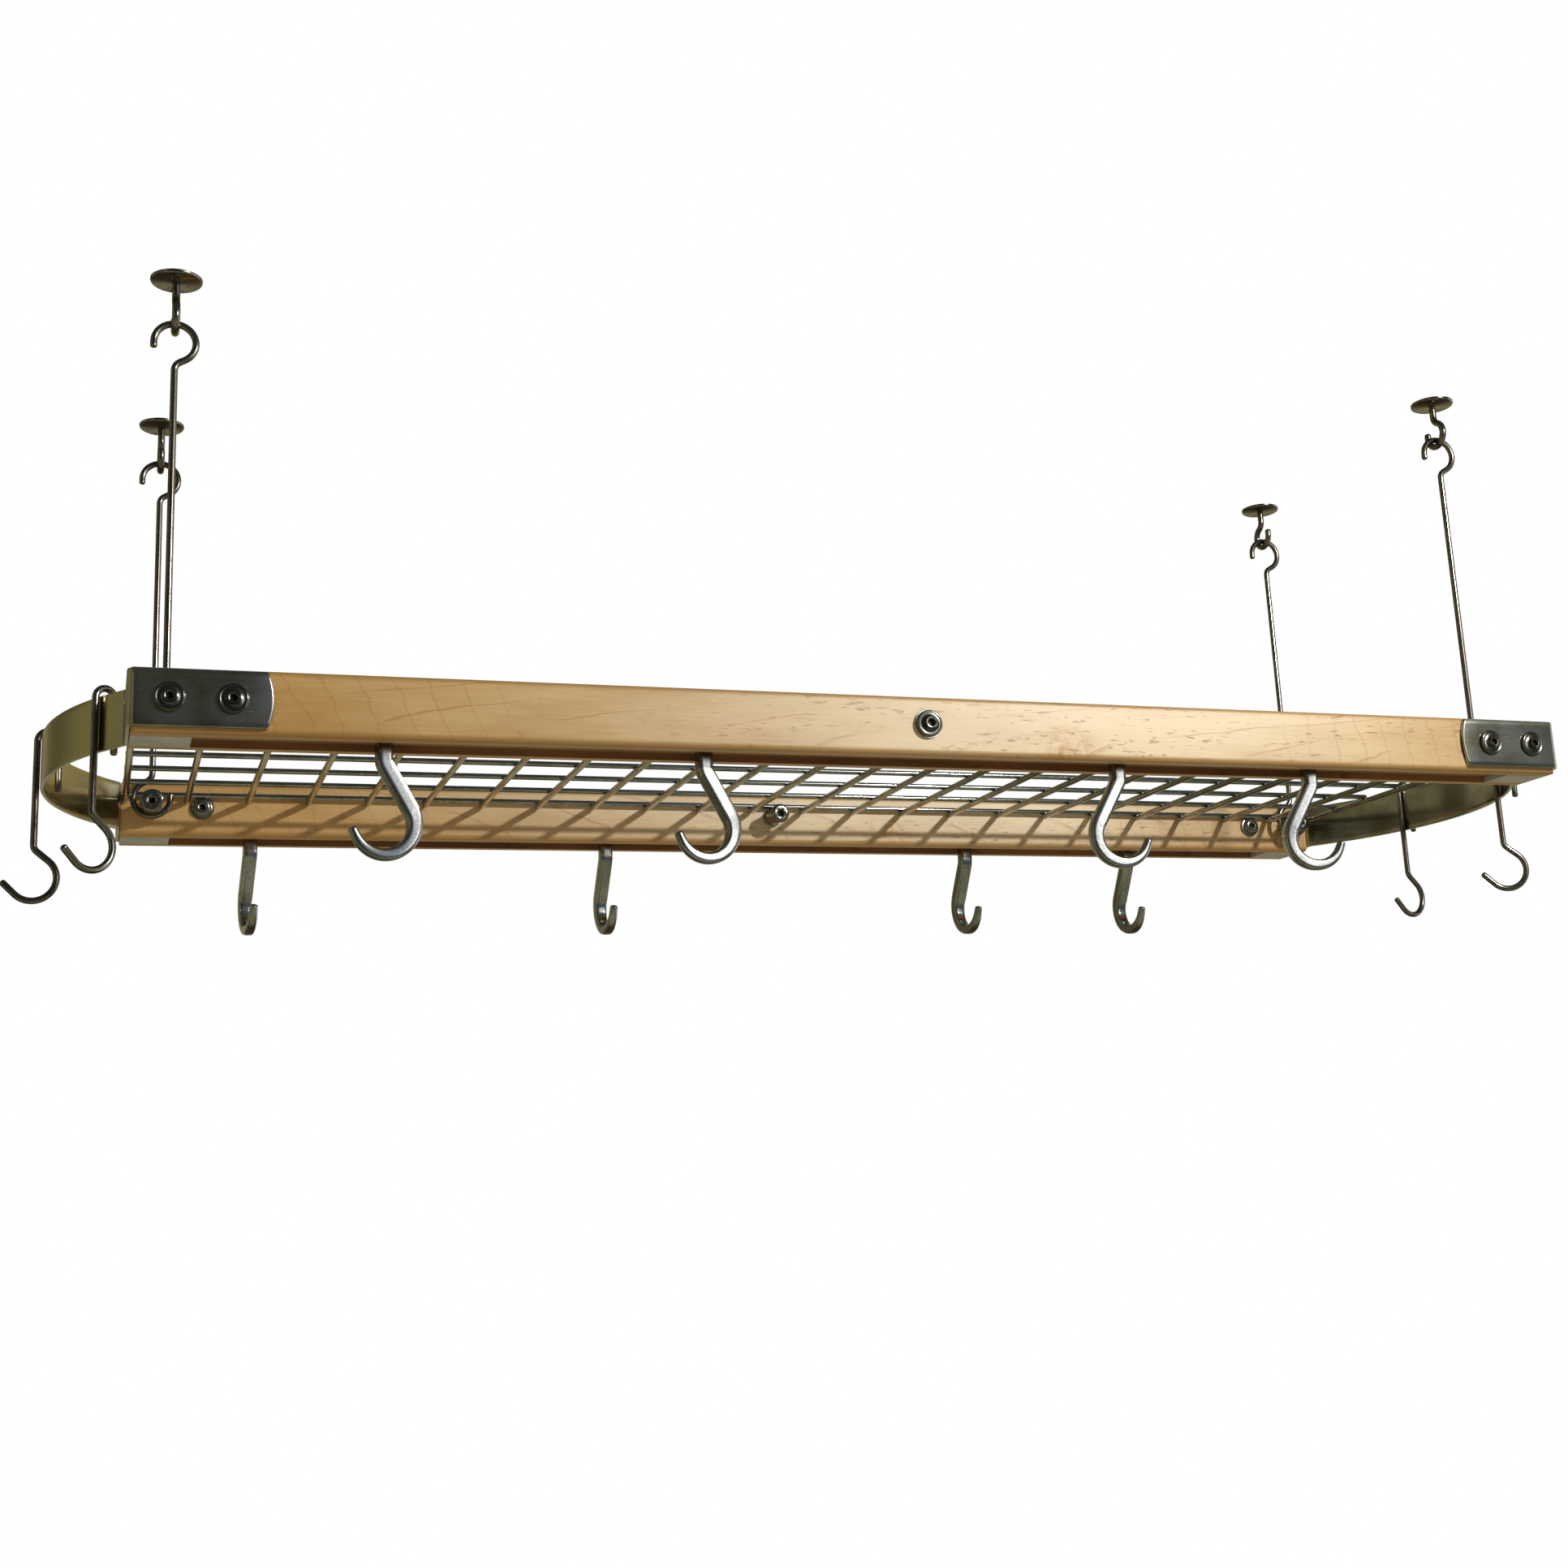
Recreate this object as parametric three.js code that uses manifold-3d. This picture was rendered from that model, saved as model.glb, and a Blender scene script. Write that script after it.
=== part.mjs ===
// Hanging pot rack: two maple rails joined by bowed steel end bands, with a welded wire
// shelf, hooks that slide in a slot under each rail, loose wire hooks over the bands and
// four hanger rods that hang from ceiling hooks.
// Millimetres, +Z up, X along the rails, the front rail on the -Y side.
// The origin is on the ceiling plane, midway between the four ceiling hooks.
import * as THREE from 'three';
import { mergeVertices } from 'three/addons/utils/BufferGeometryUtils.js';
import Module from 'manifold-3d';

const wasm = await Module();
wasm.setup();

// Rails
const RAIL_LENGTH = 1168;
const RAIL_WIDTH = 56;
const RAIL_HEIGHT = 46.5;
const RAIL_EDGE_RADIUS = 4.5;
const RACK_DEPTH = 442;
const FIT = 0.3;

// The slot under each rail, from its wide mouth up to the space for the glides
const SLOT_MOUTH_WIDTH = 31.5;
const SLOT_MOUTH_DEPTH = 5.5;
const SLOT_NECK_WIDTH = 11;
const SLOT_LIP_THICKNESS = 3.5;
const SLOT_HEAD_WIDTH = 21;
const SLOT_HEAD_DEPTH = 7.5;
const STOP_LENGTH = 40.5;

// End bands, cut from flat strip
const BAND_HEIGHT = 40.5;
const BAND_THICKNESS = 3;
const BAND_LIFT = 4;
const FLANGE_LENGTH = 94;
const FLANGE_END_RISE = 4;
const BAND_CORNER_RADIUS = 4;
const BAND_REVERSE_RADIUS = 8;
const BOW_RADIUS = 251.5;
const BOW_DEPTH = 57.7;

// Bolts, spools and nuts
const BOLT_DIAMETER = 6.4;
const BOLT_HEAD_DIAMETER = 21;
const BOLT_HEAD_HEIGHT = 5.5;
const BOLT_RIM_HEIGHT = 1.8;
const BOLT_RIM_BEVEL = 0.9;
const BOLT_BOSS_DIAMETER = 9;
const BOLT_BOSS_FOOT = 4.2;
const END_BOLT_INSET = 24.5;
const BOLT_SPACING = 42;
const HEX_SOCKET_WIDTH = 5;
const HEX_SOCKET_DEPTH = 2.6;
const WASHER_DIAMETER = 23;
const WASHER_THICKNESS = 1.5;
const SPOOL_LENGTH = 32;
const SPOOL_HEAD_DIAMETER = 20;
const MIDDLE_SPOOL_LENGTH = 28;
const MIDDLE_SPOOL_HEAD_DIAMETER = 17.5;
const SPOOL_BARREL_DIAMETER = 15;
const SPOOL_BASE_DIAMETER = 17;
const SPOOL_BASE_THICKNESS = 2;
const SPOOL_HEAD_THICKNESS = 4;
const SPOOL_THREAD_DEPTH = 14;
const NUT_DIAMETER = 15;
const NUT_LENGTH = 6.5;
const NUT_FLANGE_DIAMETER = 20;
const NUT_FLANGE_THICKNESS = 1.8;
const NUT_SHOULDER_HEIGHT = 3.6;
const NUT_CROWN_DIAMETER = 8.6;
const NUT_THREAD_DEPTH = 3;

// Wire shelf
const SHELF_LONG_DIAMETER = 4.6;
const SHELF_LONG_WIRES = 7;
const SHELF_SIDE_GAP = 5.5;
const SHELF_CROSS_DIAMETER = 5.6;
const SHELF_CROSS_OVERHANG = 3;
const SHELF_PITCH = 50.8;
const SHELF_END_INSET = 3;
const WELD_DEPTH = 0.4;

// Hanger rods and ceiling hooks
const ROD_DIAMETER = 5.2;
const ROD_PIVOT_LENGTH = 300;
const ROD_BOWL_RADIUS = 15.1;
const ROD_KINK_RADIUS = 7.6;
const ROD_KINK_ANGLE = 60;
const ROD_TIP_LENGTH = 5;
const ROD_FROM_RAIL = 15;
const CEILING_WIRE_DIAMETER = 6;
const CEILING_BOWL_RADIUS = 11;
const CEILING_KINK_RADIUS = 7.6;
const CEILING_KINK_ANGLE = 60;
const CEILING_HOOK_DROP = 42;
const CEILING_PLATE_DIAMETER = 38;
const CEILING_PLATE_THICKNESS = 3;
const CEILING_TIP_LENGTH = 5;

// Track hooks and the glides that carry them
const TRACK_STOCK = 11.5;
const TRACK_EDGE_BEVEL = 2;
const TRACK_TIP_DIAMETER = 7;
const TRACK_NECK_BELOW_RAIL = 8;
const TRACK_BOWL_RADIUS = 22.3;
const TRACK_KINK_RADIUS = 12;
const TRACK_KINK_ANGLE = 30;
const TRACK_BOWL_END = 155;
const TRACK_TIP_LENGTH = 5;
const TRACK_TIP_ROUNDING = 2;
const TRACK_BLUNT_TIP_DIAMETER = 4;
const TRACK_STEM_DIAMETER = 6;
const RIVET_HEAD_DIAMETER = 10;
const RIVET_HEAD_HEIGHT = 2;
const GLIDE_FLANGE_DIAMETER = 20;
const GLIDE_FLANGE_THICKNESS = 3.4;
const GLIDE_HUB_DIAMETER = 10.2;

// Wire hooks that hang over the bands
const BAND_WIRE_DIAMETER = 5.2;
const BAND_HOOK_GAP = 10.8;
const BAND_HOOK_BACK_LEG = 40;
const BAND_HOOK_SHANK = 81;
const BAND_BOWL_RADIUS = 17.4;
const BAND_BOWL_END = 135;
const BAND_KINK_RADIUS = 7;
const BAND_KINK_ANGLE = 50;
const BAND_TIP_LENGTH = 14;

// Where the hooks stand: how far from which end of the rail (-1 is the left-hand end), and
// the way that the tip points
const FRONT_HOOKS = [
  { end: -1, inset: 173, turn: 188 },
  { end: -1, inset: 411, turn: 188 },
  { end: 1, inset: 409, turn: -5 },
  { end: 1, inset: 229, turn: -11 },
];
const BACK_HOOKS = [
  { end: -1, inset: 109, turn: -84 },
  { end: -1, inset: 429, turn: -87 },
  { end: 1, inset: 375, turn: -87 },
  { end: 1, inset: 196, turn: -88 },
];
// Places along each bow, as angles from its middle, towards the back rail
const LEFT_BAND_HOOKS = [-33, 1];
const RIGHT_BAND_HOOKS = [-24, 15];

// Heights and places that follow from the sizes above
const HALF_LENGTH = RAIL_LENGTH / 2;
const HALF_DEPTH = RACK_DEPTH / 2;
const RAIL_CENTRE = HALF_DEPTH - RAIL_WIDTH / 2;
const RAIL_INNER = HALF_DEPTH - RAIL_WIDTH;
const BOLT_ABOVE_UNDERSIDE = BAND_LIFT + BAND_HEIGHT / 2;
const BOLT_Z = -CEILING_HOOK_DROP - ROD_PIVOT_LENGTH;
const UNDERSIDE_Z = BOLT_Z - BOLT_ABOVE_UNDERSIDE;
const END_BOLT_X = HALF_LENGTH - END_BOLT_INSET;
const SECOND_BOLT_X = END_BOLT_X - BOLT_SPACING;
const BOLT_PLACES = [-END_BOLT_X, -SECOND_BOLT_X, 0, SECOND_BOLT_X, END_BOLT_X];
const ROD_Y = RAIL_INNER - ROD_FROM_RAIL;
const BAND_END_X = HALF_LENGTH + FIT + BAND_THICKNESS / 2;
const BAND_BOTTOM_Z = UNDERSIDE_Z + BAND_LIFT;
const BAND_TOP_Z = BAND_BOTTOM_Z + BAND_HEIGHT;
const SHELF_LENGTH = RAIL_LENGTH - 2 * SHELF_END_INSET;
const SHELF_LONG_SPREAD = 2 * (RAIL_INNER - SHELF_SIDE_GAP);
const SHELF_CROSS_LENGTH = SHELF_LONG_SPREAD + 2 * SHELF_CROSS_OVERHANG;

const MAPLE = { color: 0xd9b07c, roughness: 0.5, metalness: 0 };
const BRUSHED_STEEL = { color: 0x8f9088, roughness: 0.42, metalness: 1 };
const BRIGHT_STEEL = { color: 0xb9bab4, roughness: 0.28, metalness: 1 };
const CHROME = { color: 0xc9cccd, roughness: 0.15, metalness: 1 };
const ZINC = { color: 0x8c9289, roughness: 0.5, metalness: 0.9 };
const NYLON = { color: 0x2b2622, roughness: 0.6, metalness: 0 };

// How finely the round pieces are faceted
const TURNED_SIDES = 12;
const PLATE_SIDES = 16;
const WIRE_SIDES = 8;
const EDGE_SEGMENTS = 2;
const BOW_PARTS = 32;
const BOWL_PARTS = 12;
const KINK_PARTS = 3;
const CORNER_PARTS = 4;
const HOOK_TOP_PARTS = 8;
const DOME_PARTS = 2;
const ARCH_SIDES = 96;
// A six-sided bar with the same section area as a round wire, by its corners and flats
const HEX_CORNER = 1.1;
const HEX_FLAT = HEX_CORNER * Math.cos(Math.PI / 6);

const radians = THREE.MathUtils.degToRad;

// A closed geometry as a solid that can be cut and joined
function solid(geometry) {
  const bare = geometry.index ? geometry.toNonIndexed() : geometry.clone();
  bare.deleteAttribute('normal');
  bare.deleteAttribute('uv');
  const merged = mergeVertices(bare, 1e-4);
  return new wasm.Manifold(new wasm.Mesh({
    numProp: 3,
    vertProperties: new Float32Array(merged.attributes.position.array),
    triVerts: new Uint32Array(merged.index.array),
  }));
}

function geometryOf(body) {
  const mesh = body.getMesh();
  const geometry = new THREE.BufferGeometry();
  geometry.setAttribute('position', new THREE.BufferAttribute(mesh.vertProperties, 3));
  geometry.setIndex(new THREE.BufferAttribute(mesh.triVerts, 1));
  geometry.computeVertexNormals();
  return geometry;
}

function joined(...bodies) {
  return bodies.reduce((whole, body) => whole.add(body));
}

function cut(body, tools) {
  return tools.reduce((whole, tool) => whole.subtract(tool), body);
}

function box(lowX, highX, lowY, highY, lowZ, highZ) {
  const geometry = new THREE.BoxGeometry(highX - lowX, highY - lowY, highZ - lowZ);
  geometry.translate((lowX + highX) / 2, (lowY + highY) / 2, (lowZ + highZ) / 2);
  return geometry;
}

// A round bar from lowZ to highZ on the Z axis
function bar(radius, lowZ, highZ, sides) {
  const geometry = new THREE.CylinderGeometry(radius, radius, highZ - lowZ, sides);
  geometry.rotateX(Math.PI / 2);
  geometry.translate(0, 0, (lowZ + highZ) / 2);
  return geometry;
}

// A six-sided bar along Z for a shelf wire, with flats that face up and down once it is
// laid along X
function hexBar(diameter, length) {
  const geometry = bar((HEX_CORNER * diameter) / 2, -length / 2, length / 2, 6);
  geometry.rotateZ(Math.PI / 6);
  return geometry;
}

// A turned piece: its profile's points are [radius, height], from one axis point to the other
function turned(profile, sides) {
  const points = profile.map(([radius, height]) => new THREE.Vector2(radius, height));
  const geometry = new THREE.LatheGeometry(points, sides);
  geometry.rotateX(Math.PI / 2);
  return geometry;
}

// The stations of a bent wire or strip: a list of straights and bends walked from a start
// point, first along the heading, all in one plane. A positive angle turns anticlockwise.
function bendingTable(start, heading, steps) {
  const stations = [];
  let x = start[0];
  let y = start[1];
  let angle = radians(heading);
  const note = () => stations.push({ x, y, tx: Math.cos(angle), ty: Math.sin(angle) });
  note();
  for (const step of steps) {
    if (step.straight) {
      x += step.straight * Math.cos(angle);
      y += step.straight * Math.sin(angle);
      note();
    } else {
      const side = Math.sign(step.bend);
      const part = radians(step.bend) / step.parts;
      const centreX = x - side * step.radius * Math.sin(angle);
      const centreY = y + side * step.radius * Math.cos(angle);
      for (let i = 0; i < step.parts; i += 1) {
        angle += part;
        x = centreX + side * step.radius * Math.sin(angle);
        y = centreY - side * step.radius * Math.cos(angle);
        note();
      }
    }
  }
  return stations;
}

// Sweeps a section along stations that lie in the X-Z plane, and closes both ends. The
// section's corners are [across, side]: across the route in its plane, and along Y.
function swept(stations, sectionAt) {
  const corners = [];
  stations.forEach((station, index) => {
    for (const [across, side] of sectionAt(index)) {
      corners.push(station.x - across * station.ty, side, station.y + across * station.tx);
    }
  });
  const sides = sectionAt(0).length;
  const lastRing = (stations.length - 1) * sides;
  const faces = [];
  for (let ring = 0; ring < lastRing; ring += sides) {
    for (let i = 0; i < sides; i += 1) {
      const a = ring + i;
      const b = ring + ((i + 1) % sides);
      faces.push(a, b + sides, b, a, a + sides, b + sides);
    }
  }
  for (let i = 1; i + 1 < sides; i += 1) {
    faces.push(0, i, i + 1);
    faces.push(lastRing, lastRing + i + 1, lastRing + i);
  }
  const geometry = new THREE.BufferGeometry();
  geometry.setAttribute('position', new THREE.Float32BufferAttribute(corners, 3));
  geometry.setIndex(faces);
  geometry.computeVertexNormals();
  return geometry;
}

function roundSection(radius) {
  const corners = [];
  for (let i = 0; i < WIRE_SIDES; i += 1) {
    const angle = (2 * Math.PI * (i + 0.5)) / WIRE_SIDES;
    corners.push([radius * Math.cos(angle), radius * Math.sin(angle)]);
  }
  return corners;
}

// A square with its corners cut off
function barSection(half, bevel) {
  const flat = half - bevel;
  return [[half, -flat], [half, flat], [flat, half], [-flat, half],
    [-half, flat], [-half, -flat], [-flat, -half], [flat, -half]];
}

// A round wire along the stations
function wire(stations, diameter) {
  return swept(stations, () => roundSection(diameter / 2));
}

// Kink and bowl of a hook whose bowl hangs in line with its shank. The shank comes down
// the Z axis, kinks to the -X side, and the tip ends on the +X side.
function kinkAndBowl(kinkAngle, kinkRadius, bowlRadius, bowlEnd) {
  const angle = radians(kinkAngle);
  const sideways = bowlRadius * Math.cos(angle) - kinkRadius * (1 - Math.cos(angle));
  const slope = sideways / Math.sin(angle);
  const drop = kinkRadius * Math.sin(angle) + slope * Math.cos(angle)
    + bowlRadius * Math.sin(angle);
  return {
    drop,
    steps: [
      { bend: -kinkAngle, radius: kinkRadius, parts: KINK_PARTS },
      { straight: slope },
      { bend: kinkAngle + bowlEnd, radius: bowlRadius, parts: BOWL_PARTS },
    ],
  };
}

const rack = new THREE.Group();

function material(finish) {
  return new THREE.MeshStandardMaterial(finish);
}

function place(name, geometry, finish, move) {
  const mesh = new THREE.Mesh(geometry, material(finish));
  mesh.name = name;
  if (move) {
    mesh.position.set(...move.at);
    mesh.rotation.z = radians(move.turn ?? 0);
  }
  rack.add(mesh);
  return mesh;
}

// A bar along Y, for bolt holes through a rail and its band
function crossBore(x, z) {
  const reach = HALF_DEPTH + RAIL_WIDTH;
  const tool = bar(BOLT_DIAMETER / 2 + FIT, -reach, reach, TURNED_SIDES);
  tool.rotateX(Math.PI / 2);
  tool.translate(x, 0, z);
  return solid(tool);
}

// Rail section with rounded edges and the slot, in the Y-Z plane about the rail's middle
function railSection() {
  const half = RAIL_WIDTH / 2;
  const r = RAIL_EDGE_RADIUS;
  const mouth = SLOT_MOUTH_WIDTH / 2;
  const neck = SLOT_NECK_WIDTH / 2;
  const head = SLOT_HEAD_WIDTH / 2;
  const lip = SLOT_MOUTH_DEPTH + SLOT_LIP_THICKNESS;
  const roof = lip + SLOT_HEAD_DEPTH;
  const shape = new THREE.Shape();
  shape.moveTo(-half + r, 0);
  shape.lineTo(-mouth, 0);
  shape.lineTo(-mouth, SLOT_MOUTH_DEPTH);
  shape.lineTo(-neck, SLOT_MOUTH_DEPTH);
  shape.lineTo(-neck, lip);
  shape.lineTo(-head, lip);
  shape.lineTo(-head, roof);
  shape.lineTo(head, roof);
  shape.lineTo(head, lip);
  shape.lineTo(neck, lip);
  shape.lineTo(neck, SLOT_MOUTH_DEPTH);
  shape.lineTo(mouth, SLOT_MOUTH_DEPTH);
  shape.lineTo(mouth, 0);
  shape.lineTo(half - r, 0);
  shape.absarc(half - r, r, r, -Math.PI / 2, 0);
  shape.absarc(half - r, RAIL_HEIGHT - r, r, 0, Math.PI / 2);
  shape.absarc(-half + r, RAIL_HEIGHT - r, r, Math.PI / 2, Math.PI);
  shape.absarc(-half + r, r, r, Math.PI, 1.5 * Math.PI);
  return shape;
}

// Extrudes a Y-Z section along X, from the lower x to the higher one
function alongX(shape, lowX, highX, curveSegments) {
  const geometry = new THREE.ExtrudeGeometry(shape, {
    depth: highX - lowX,
    bevelEnabled: false,
    curveSegments,
  });
  geometry.rotateX(Math.PI / 2);
  geometry.rotateZ(Math.PI / 2);
  geometry.translate(lowX, 0, 0);
  return geometry;
}

// Waste outside the round upright edge at a rail's end. The round is concentric with the
// band's inner bend.
function endWaste(end, side) {
  const radius = BAND_CORNER_RADIUS - FIT;
  const beyond = BAND_CORNER_RADIUS + FIT;
  const block = box(0, beyond, 0, beyond, -RAIL_HEIGHT, RAIL_HEIGHT);
  const edge = bar(radius, -2 * RAIL_HEIGHT, 2 * RAIL_HEIGHT, PLATE_SIDES);
  const turns = { '1,1': 0, '-1,1': 90, '-1,-1': 180, '1,-1': 270 };
  const at = [end * (HALF_LENGTH - radius), side * (HALF_DEPTH - radius), BOLT_Z];
  return solid(block).subtract(solid(edge)).rotate([0, 0, turns[`${end},${side}`]]).translate(at);
}

function makeRail(side) {
  const y = side * RAIL_CENTRE;
  const blank = alongX(railSection(), -HALF_LENGTH, HALF_LENGTH, EDGE_SEGMENTS);
  blank.translate(0, y, UNDERSIDE_Z);
  const bores = BOLT_PLACES.map((x) => crossBore(x, BOLT_Z));
  return geometryOf(cut(solid(blank), [...bores, endWaste(-1, side), endWaste(1, side)]));
}

// Stop block that fills the slot's mouth and neck at a rail's end
function makeStop() {
  const mouth = SLOT_MOUTH_WIDTH / 2 - FIT;
  const neck = SLOT_NECK_WIDTH / 2 - FIT;
  const top = SLOT_MOUTH_DEPTH + SLOT_LIP_THICKNESS + SLOT_HEAD_DEPTH / 2;
  const shape = new THREE.Shape();
  shape.moveTo(-mouth, 0);
  shape.lineTo(mouth, 0);
  shape.lineTo(mouth, SLOT_MOUTH_DEPTH - FIT);
  shape.lineTo(neck, SLOT_MOUTH_DEPTH - FIT);
  shape.lineTo(neck, top);
  shape.lineTo(-neck, top);
  shape.lineTo(-neck, SLOT_MOUTH_DEPTH - FIT);
  shape.lineTo(-mouth, SLOT_MOUTH_DEPTH - FIT);
  return alongX(shape, -STOP_LENGTH / 2, STOP_LENGTH / 2, 1);
}

// The bow is an arc that a reverse bend joins to the strip across each rail end
const BOW_CENTRE_X = BAND_END_X + BOW_DEPTH - BOW_RADIUS;

// The strip's middle line in plan for the right-hand band, from the front flange's end
function bandStations() {
  const corner = BAND_CORNER_RADIUS + BAND_THICKNESS / 2;
  const outerY = HALF_DEPTH + FIT + BAND_THICKNESS / 2;
  const centres = BOW_RADIUS + BAND_REVERSE_RADIUS;
  const bowAngle = Math.acos((BAND_END_X + BAND_REVERSE_RADIUS - BOW_CENTRE_X) / centres);
  const turn = THREE.MathUtils.radToDeg(bowAngle);
  const flange = FLANGE_LENGTH + FIT + BAND_THICKNESS / 2 - corner;
  const endLeg = outerY - corner - centres * Math.sin(bowAngle);
  return bendingTable([BAND_END_X - corner - flange, -outerY], 0, [
    { straight: flange },
    { bend: 90, radius: corner, parts: CORNER_PARTS },
    { straight: endLeg },
    { bend: -turn, radius: BAND_REVERSE_RADIUS, parts: CORNER_PARTS },
    { bend: 2 * turn, radius: BOW_RADIUS, parts: BOW_PARTS },
    { bend: -turn, radius: BAND_REVERSE_RADIUS, parts: CORNER_PARTS },
    { straight: endLeg },
    { bend: 90, radius: corner, parts: CORNER_PARTS },
    { straight: flange },
  ]);
}

// Cuts a flange's free end to a shallow arch
function flangeTrim(side) {
  const half = BAND_HEIGHT / 2;
  const radius = (half ** 2 + FLANGE_END_RISE ** 2) / (2 * FLANGE_END_RISE);
  const tip = HALF_LENGTH - FLANGE_LENGTH;
  const y = side * (HALF_DEPTH + FIT + BAND_THICKNESS / 2);
  const waste = box(tip - BAND_THICKNESS, tip + 2 * FLANGE_END_RISE, y - BAND_THICKNESS,
    y + BAND_THICKNESS, BOLT_Z - BAND_HEIGHT, BOLT_Z + BAND_HEIGHT);
  const keep = bar(radius, -2 * BAND_THICKNESS, 2 * BAND_THICKNESS, ARCH_SIDES);
  keep.rotateX(Math.PI / 2);
  keep.translate(tip + radius, y, BOLT_Z);
  return solid(waste).subtract(solid(keep));
}

function makeRightBand() {
  const stations = bandStations();
  const half = BAND_THICKNESS / 2;
  const outer = stations.map((s) => new THREE.Vector2(s.x + half * s.ty, s.y - half * s.tx));
  const inner = stations.map((s) => new THREE.Vector2(s.x - half * s.ty, s.y + half * s.tx));
  const strip = new THREE.ExtrudeGeometry(new THREE.Shape([...outer, ...inner.reverse()]), {
    depth: BAND_HEIGHT,
    bevelEnabled: false,
  });
  strip.translate(0, 0, BAND_BOTTOM_Z);
  const bores = [SECOND_BOLT_X, END_BOLT_X].map((x) => crossBore(x, BOLT_Z));
  return cut(solid(strip), [...bores, flangeTrim(-1), flangeTrim(1)]);
}

function hexSocket(top) {
  const tool = bar(HEX_SOCKET_WIDTH / Math.sqrt(3), top - HEX_SOCKET_DEPTH, top + 1, 6);
  return solid(tool);
}

// Bolt along Z with its head's seat at z = 0 and the shank below
function makeBolt(shank) {
  const bolt = turned([
    [0, -shank],
    [BOLT_DIAMETER / 2, -shank],
    [BOLT_DIAMETER / 2, 0],
    [BOLT_HEAD_DIAMETER / 2, 0],
    [BOLT_HEAD_DIAMETER / 2, BOLT_RIM_HEIGHT],
    [BOLT_HEAD_DIAMETER / 2 - BOLT_RIM_BEVEL, BOLT_RIM_HEIGHT + BOLT_RIM_BEVEL],
    [BOLT_BOSS_DIAMETER / 2, BOLT_BOSS_FOOT],
    [BOLT_BOSS_DIAMETER / 2, BOLT_HEAD_HEIGHT],
    [0, BOLT_HEAD_HEIGHT],
  ], TURNED_SIDES);
  return geometryOf(solid(bolt).subtract(hexSocket(BOLT_HEAD_HEIGHT)));
}

function makeWasher() {
  const bore = BOLT_DIAMETER / 2 + FIT;
  return turned([
    [bore, 0],
    [WASHER_DIAMETER / 2, 0],
    [WASHER_DIAMETER / 2, WASHER_THICKNESS],
    [bore, WASHER_THICKNESS],
    [bore, 0],
  ], TURNED_SIDES);
}

// Spool along Z that stands on the rail's inner face at z = 0
function makeSpool(length, headDiameter) {
  const bore = BOLT_DIAMETER / 2 + FIT;
  const spool = turned([
    [0, SPOOL_THREAD_DEPTH],
    [bore, SPOOL_THREAD_DEPTH],
    [bore, 0],
    [SPOOL_BASE_DIAMETER / 2, 0],
    [SPOOL_BASE_DIAMETER / 2, SPOOL_BASE_THICKNESS],
    [SPOOL_BARREL_DIAMETER / 2, SPOOL_BASE_THICKNESS],
    [SPOOL_BARREL_DIAMETER / 2, length - SPOOL_HEAD_THICKNESS],
    [headDiameter / 2, length - SPOOL_HEAD_THICKNESS],
    [headDiameter / 2, length - SPOOL_HEAD_THICKNESS / 2],
    [headDiameter / 2 - SPOOL_HEAD_THICKNESS / 2, length],
    [0, length],
  ], TURNED_SIDES);
  return geometryOf(solid(spool).subtract(hexSocket(length)));
}

// Domed nut on a flange, with its seat at z = 0
function makeNut() {
  const bore = BOLT_DIAMETER / 2 + FIT;
  const domeWidth = (NUT_DIAMETER - NUT_CROWN_DIAMETER) / 2;
  const domeHeight = NUT_LENGTH - NUT_SHOULDER_HEIGHT;
  const profile = [
    [0, NUT_THREAD_DEPTH],
    [bore, NUT_THREAD_DEPTH],
    [bore, 0],
    [NUT_FLANGE_DIAMETER / 2, 0],
    [NUT_FLANGE_DIAMETER / 2, NUT_FLANGE_THICKNESS],
    [NUT_DIAMETER / 2, NUT_FLANGE_THICKNESS],
  ];
  for (let i = 0; i <= DOME_PARTS; i += 1) {
    const angle = (Math.PI / 2) * (i / DOME_PARTS);
    profile.push([
      NUT_CROWN_DIAMETER / 2 + domeWidth * Math.cos(angle),
      NUT_SHOULDER_HEIGHT + domeHeight * Math.sin(angle),
    ]);
  }
  profile.push([0, NUT_LENGTH]);
  return geometryOf(solid(turned(profile, TURNED_SIDES)).subtract(hexSocket(NUT_LENGTH)));
}

// Welded wire shelf: long wires on top of the cross wires
function makeShelf() {
  const longFlat = (HEX_FLAT * SHELF_LONG_DIAMETER) / 2;
  const crossFlat = (HEX_FLAT * SHELF_CROSS_DIAMETER) / 2;
  const longZ = BOLT_Z + SPOOL_BARREL_DIAMETER / 2 + FIT + longFlat;
  const crossZ = longZ - longFlat - crossFlat + WELD_DEPTH;
  const bodies = [];
  for (let i = 0; i < SHELF_LONG_WIRES; i += 1) {
    const long = hexBar(SHELF_LONG_DIAMETER, SHELF_LENGTH + SHELF_CROSS_DIAMETER);
    long.rotateY(Math.PI / 2);
    long.translate(0, SHELF_LONG_SPREAD * (i / (SHELF_LONG_WIRES - 1) - 0.5), longZ);
    bodies.push(solid(long));
  }
  const pitches = Math.floor((SHELF_LENGTH - SHELF_CROSS_DIAMETER) / SHELF_PITCH);
  const crossPlaces = [SHELF_LENGTH / 2];
  for (let i = 0; i <= pitches; i += 1) {
    crossPlaces.push(-SHELF_LENGTH / 2 + SHELF_PITCH * i);
  }
  for (const x of crossPlaces) {
    const cross = hexBar(SHELF_CROSS_DIAMETER, SHELF_CROSS_LENGTH);
    cross.rotateY(Math.PI / 2);
    cross.rotateZ(Math.PI / 2);
    cross.translate(x, 0, crossZ);
    bodies.push(solid(cross));
  }
  return geometryOf(joined(...bodies));
}

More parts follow.
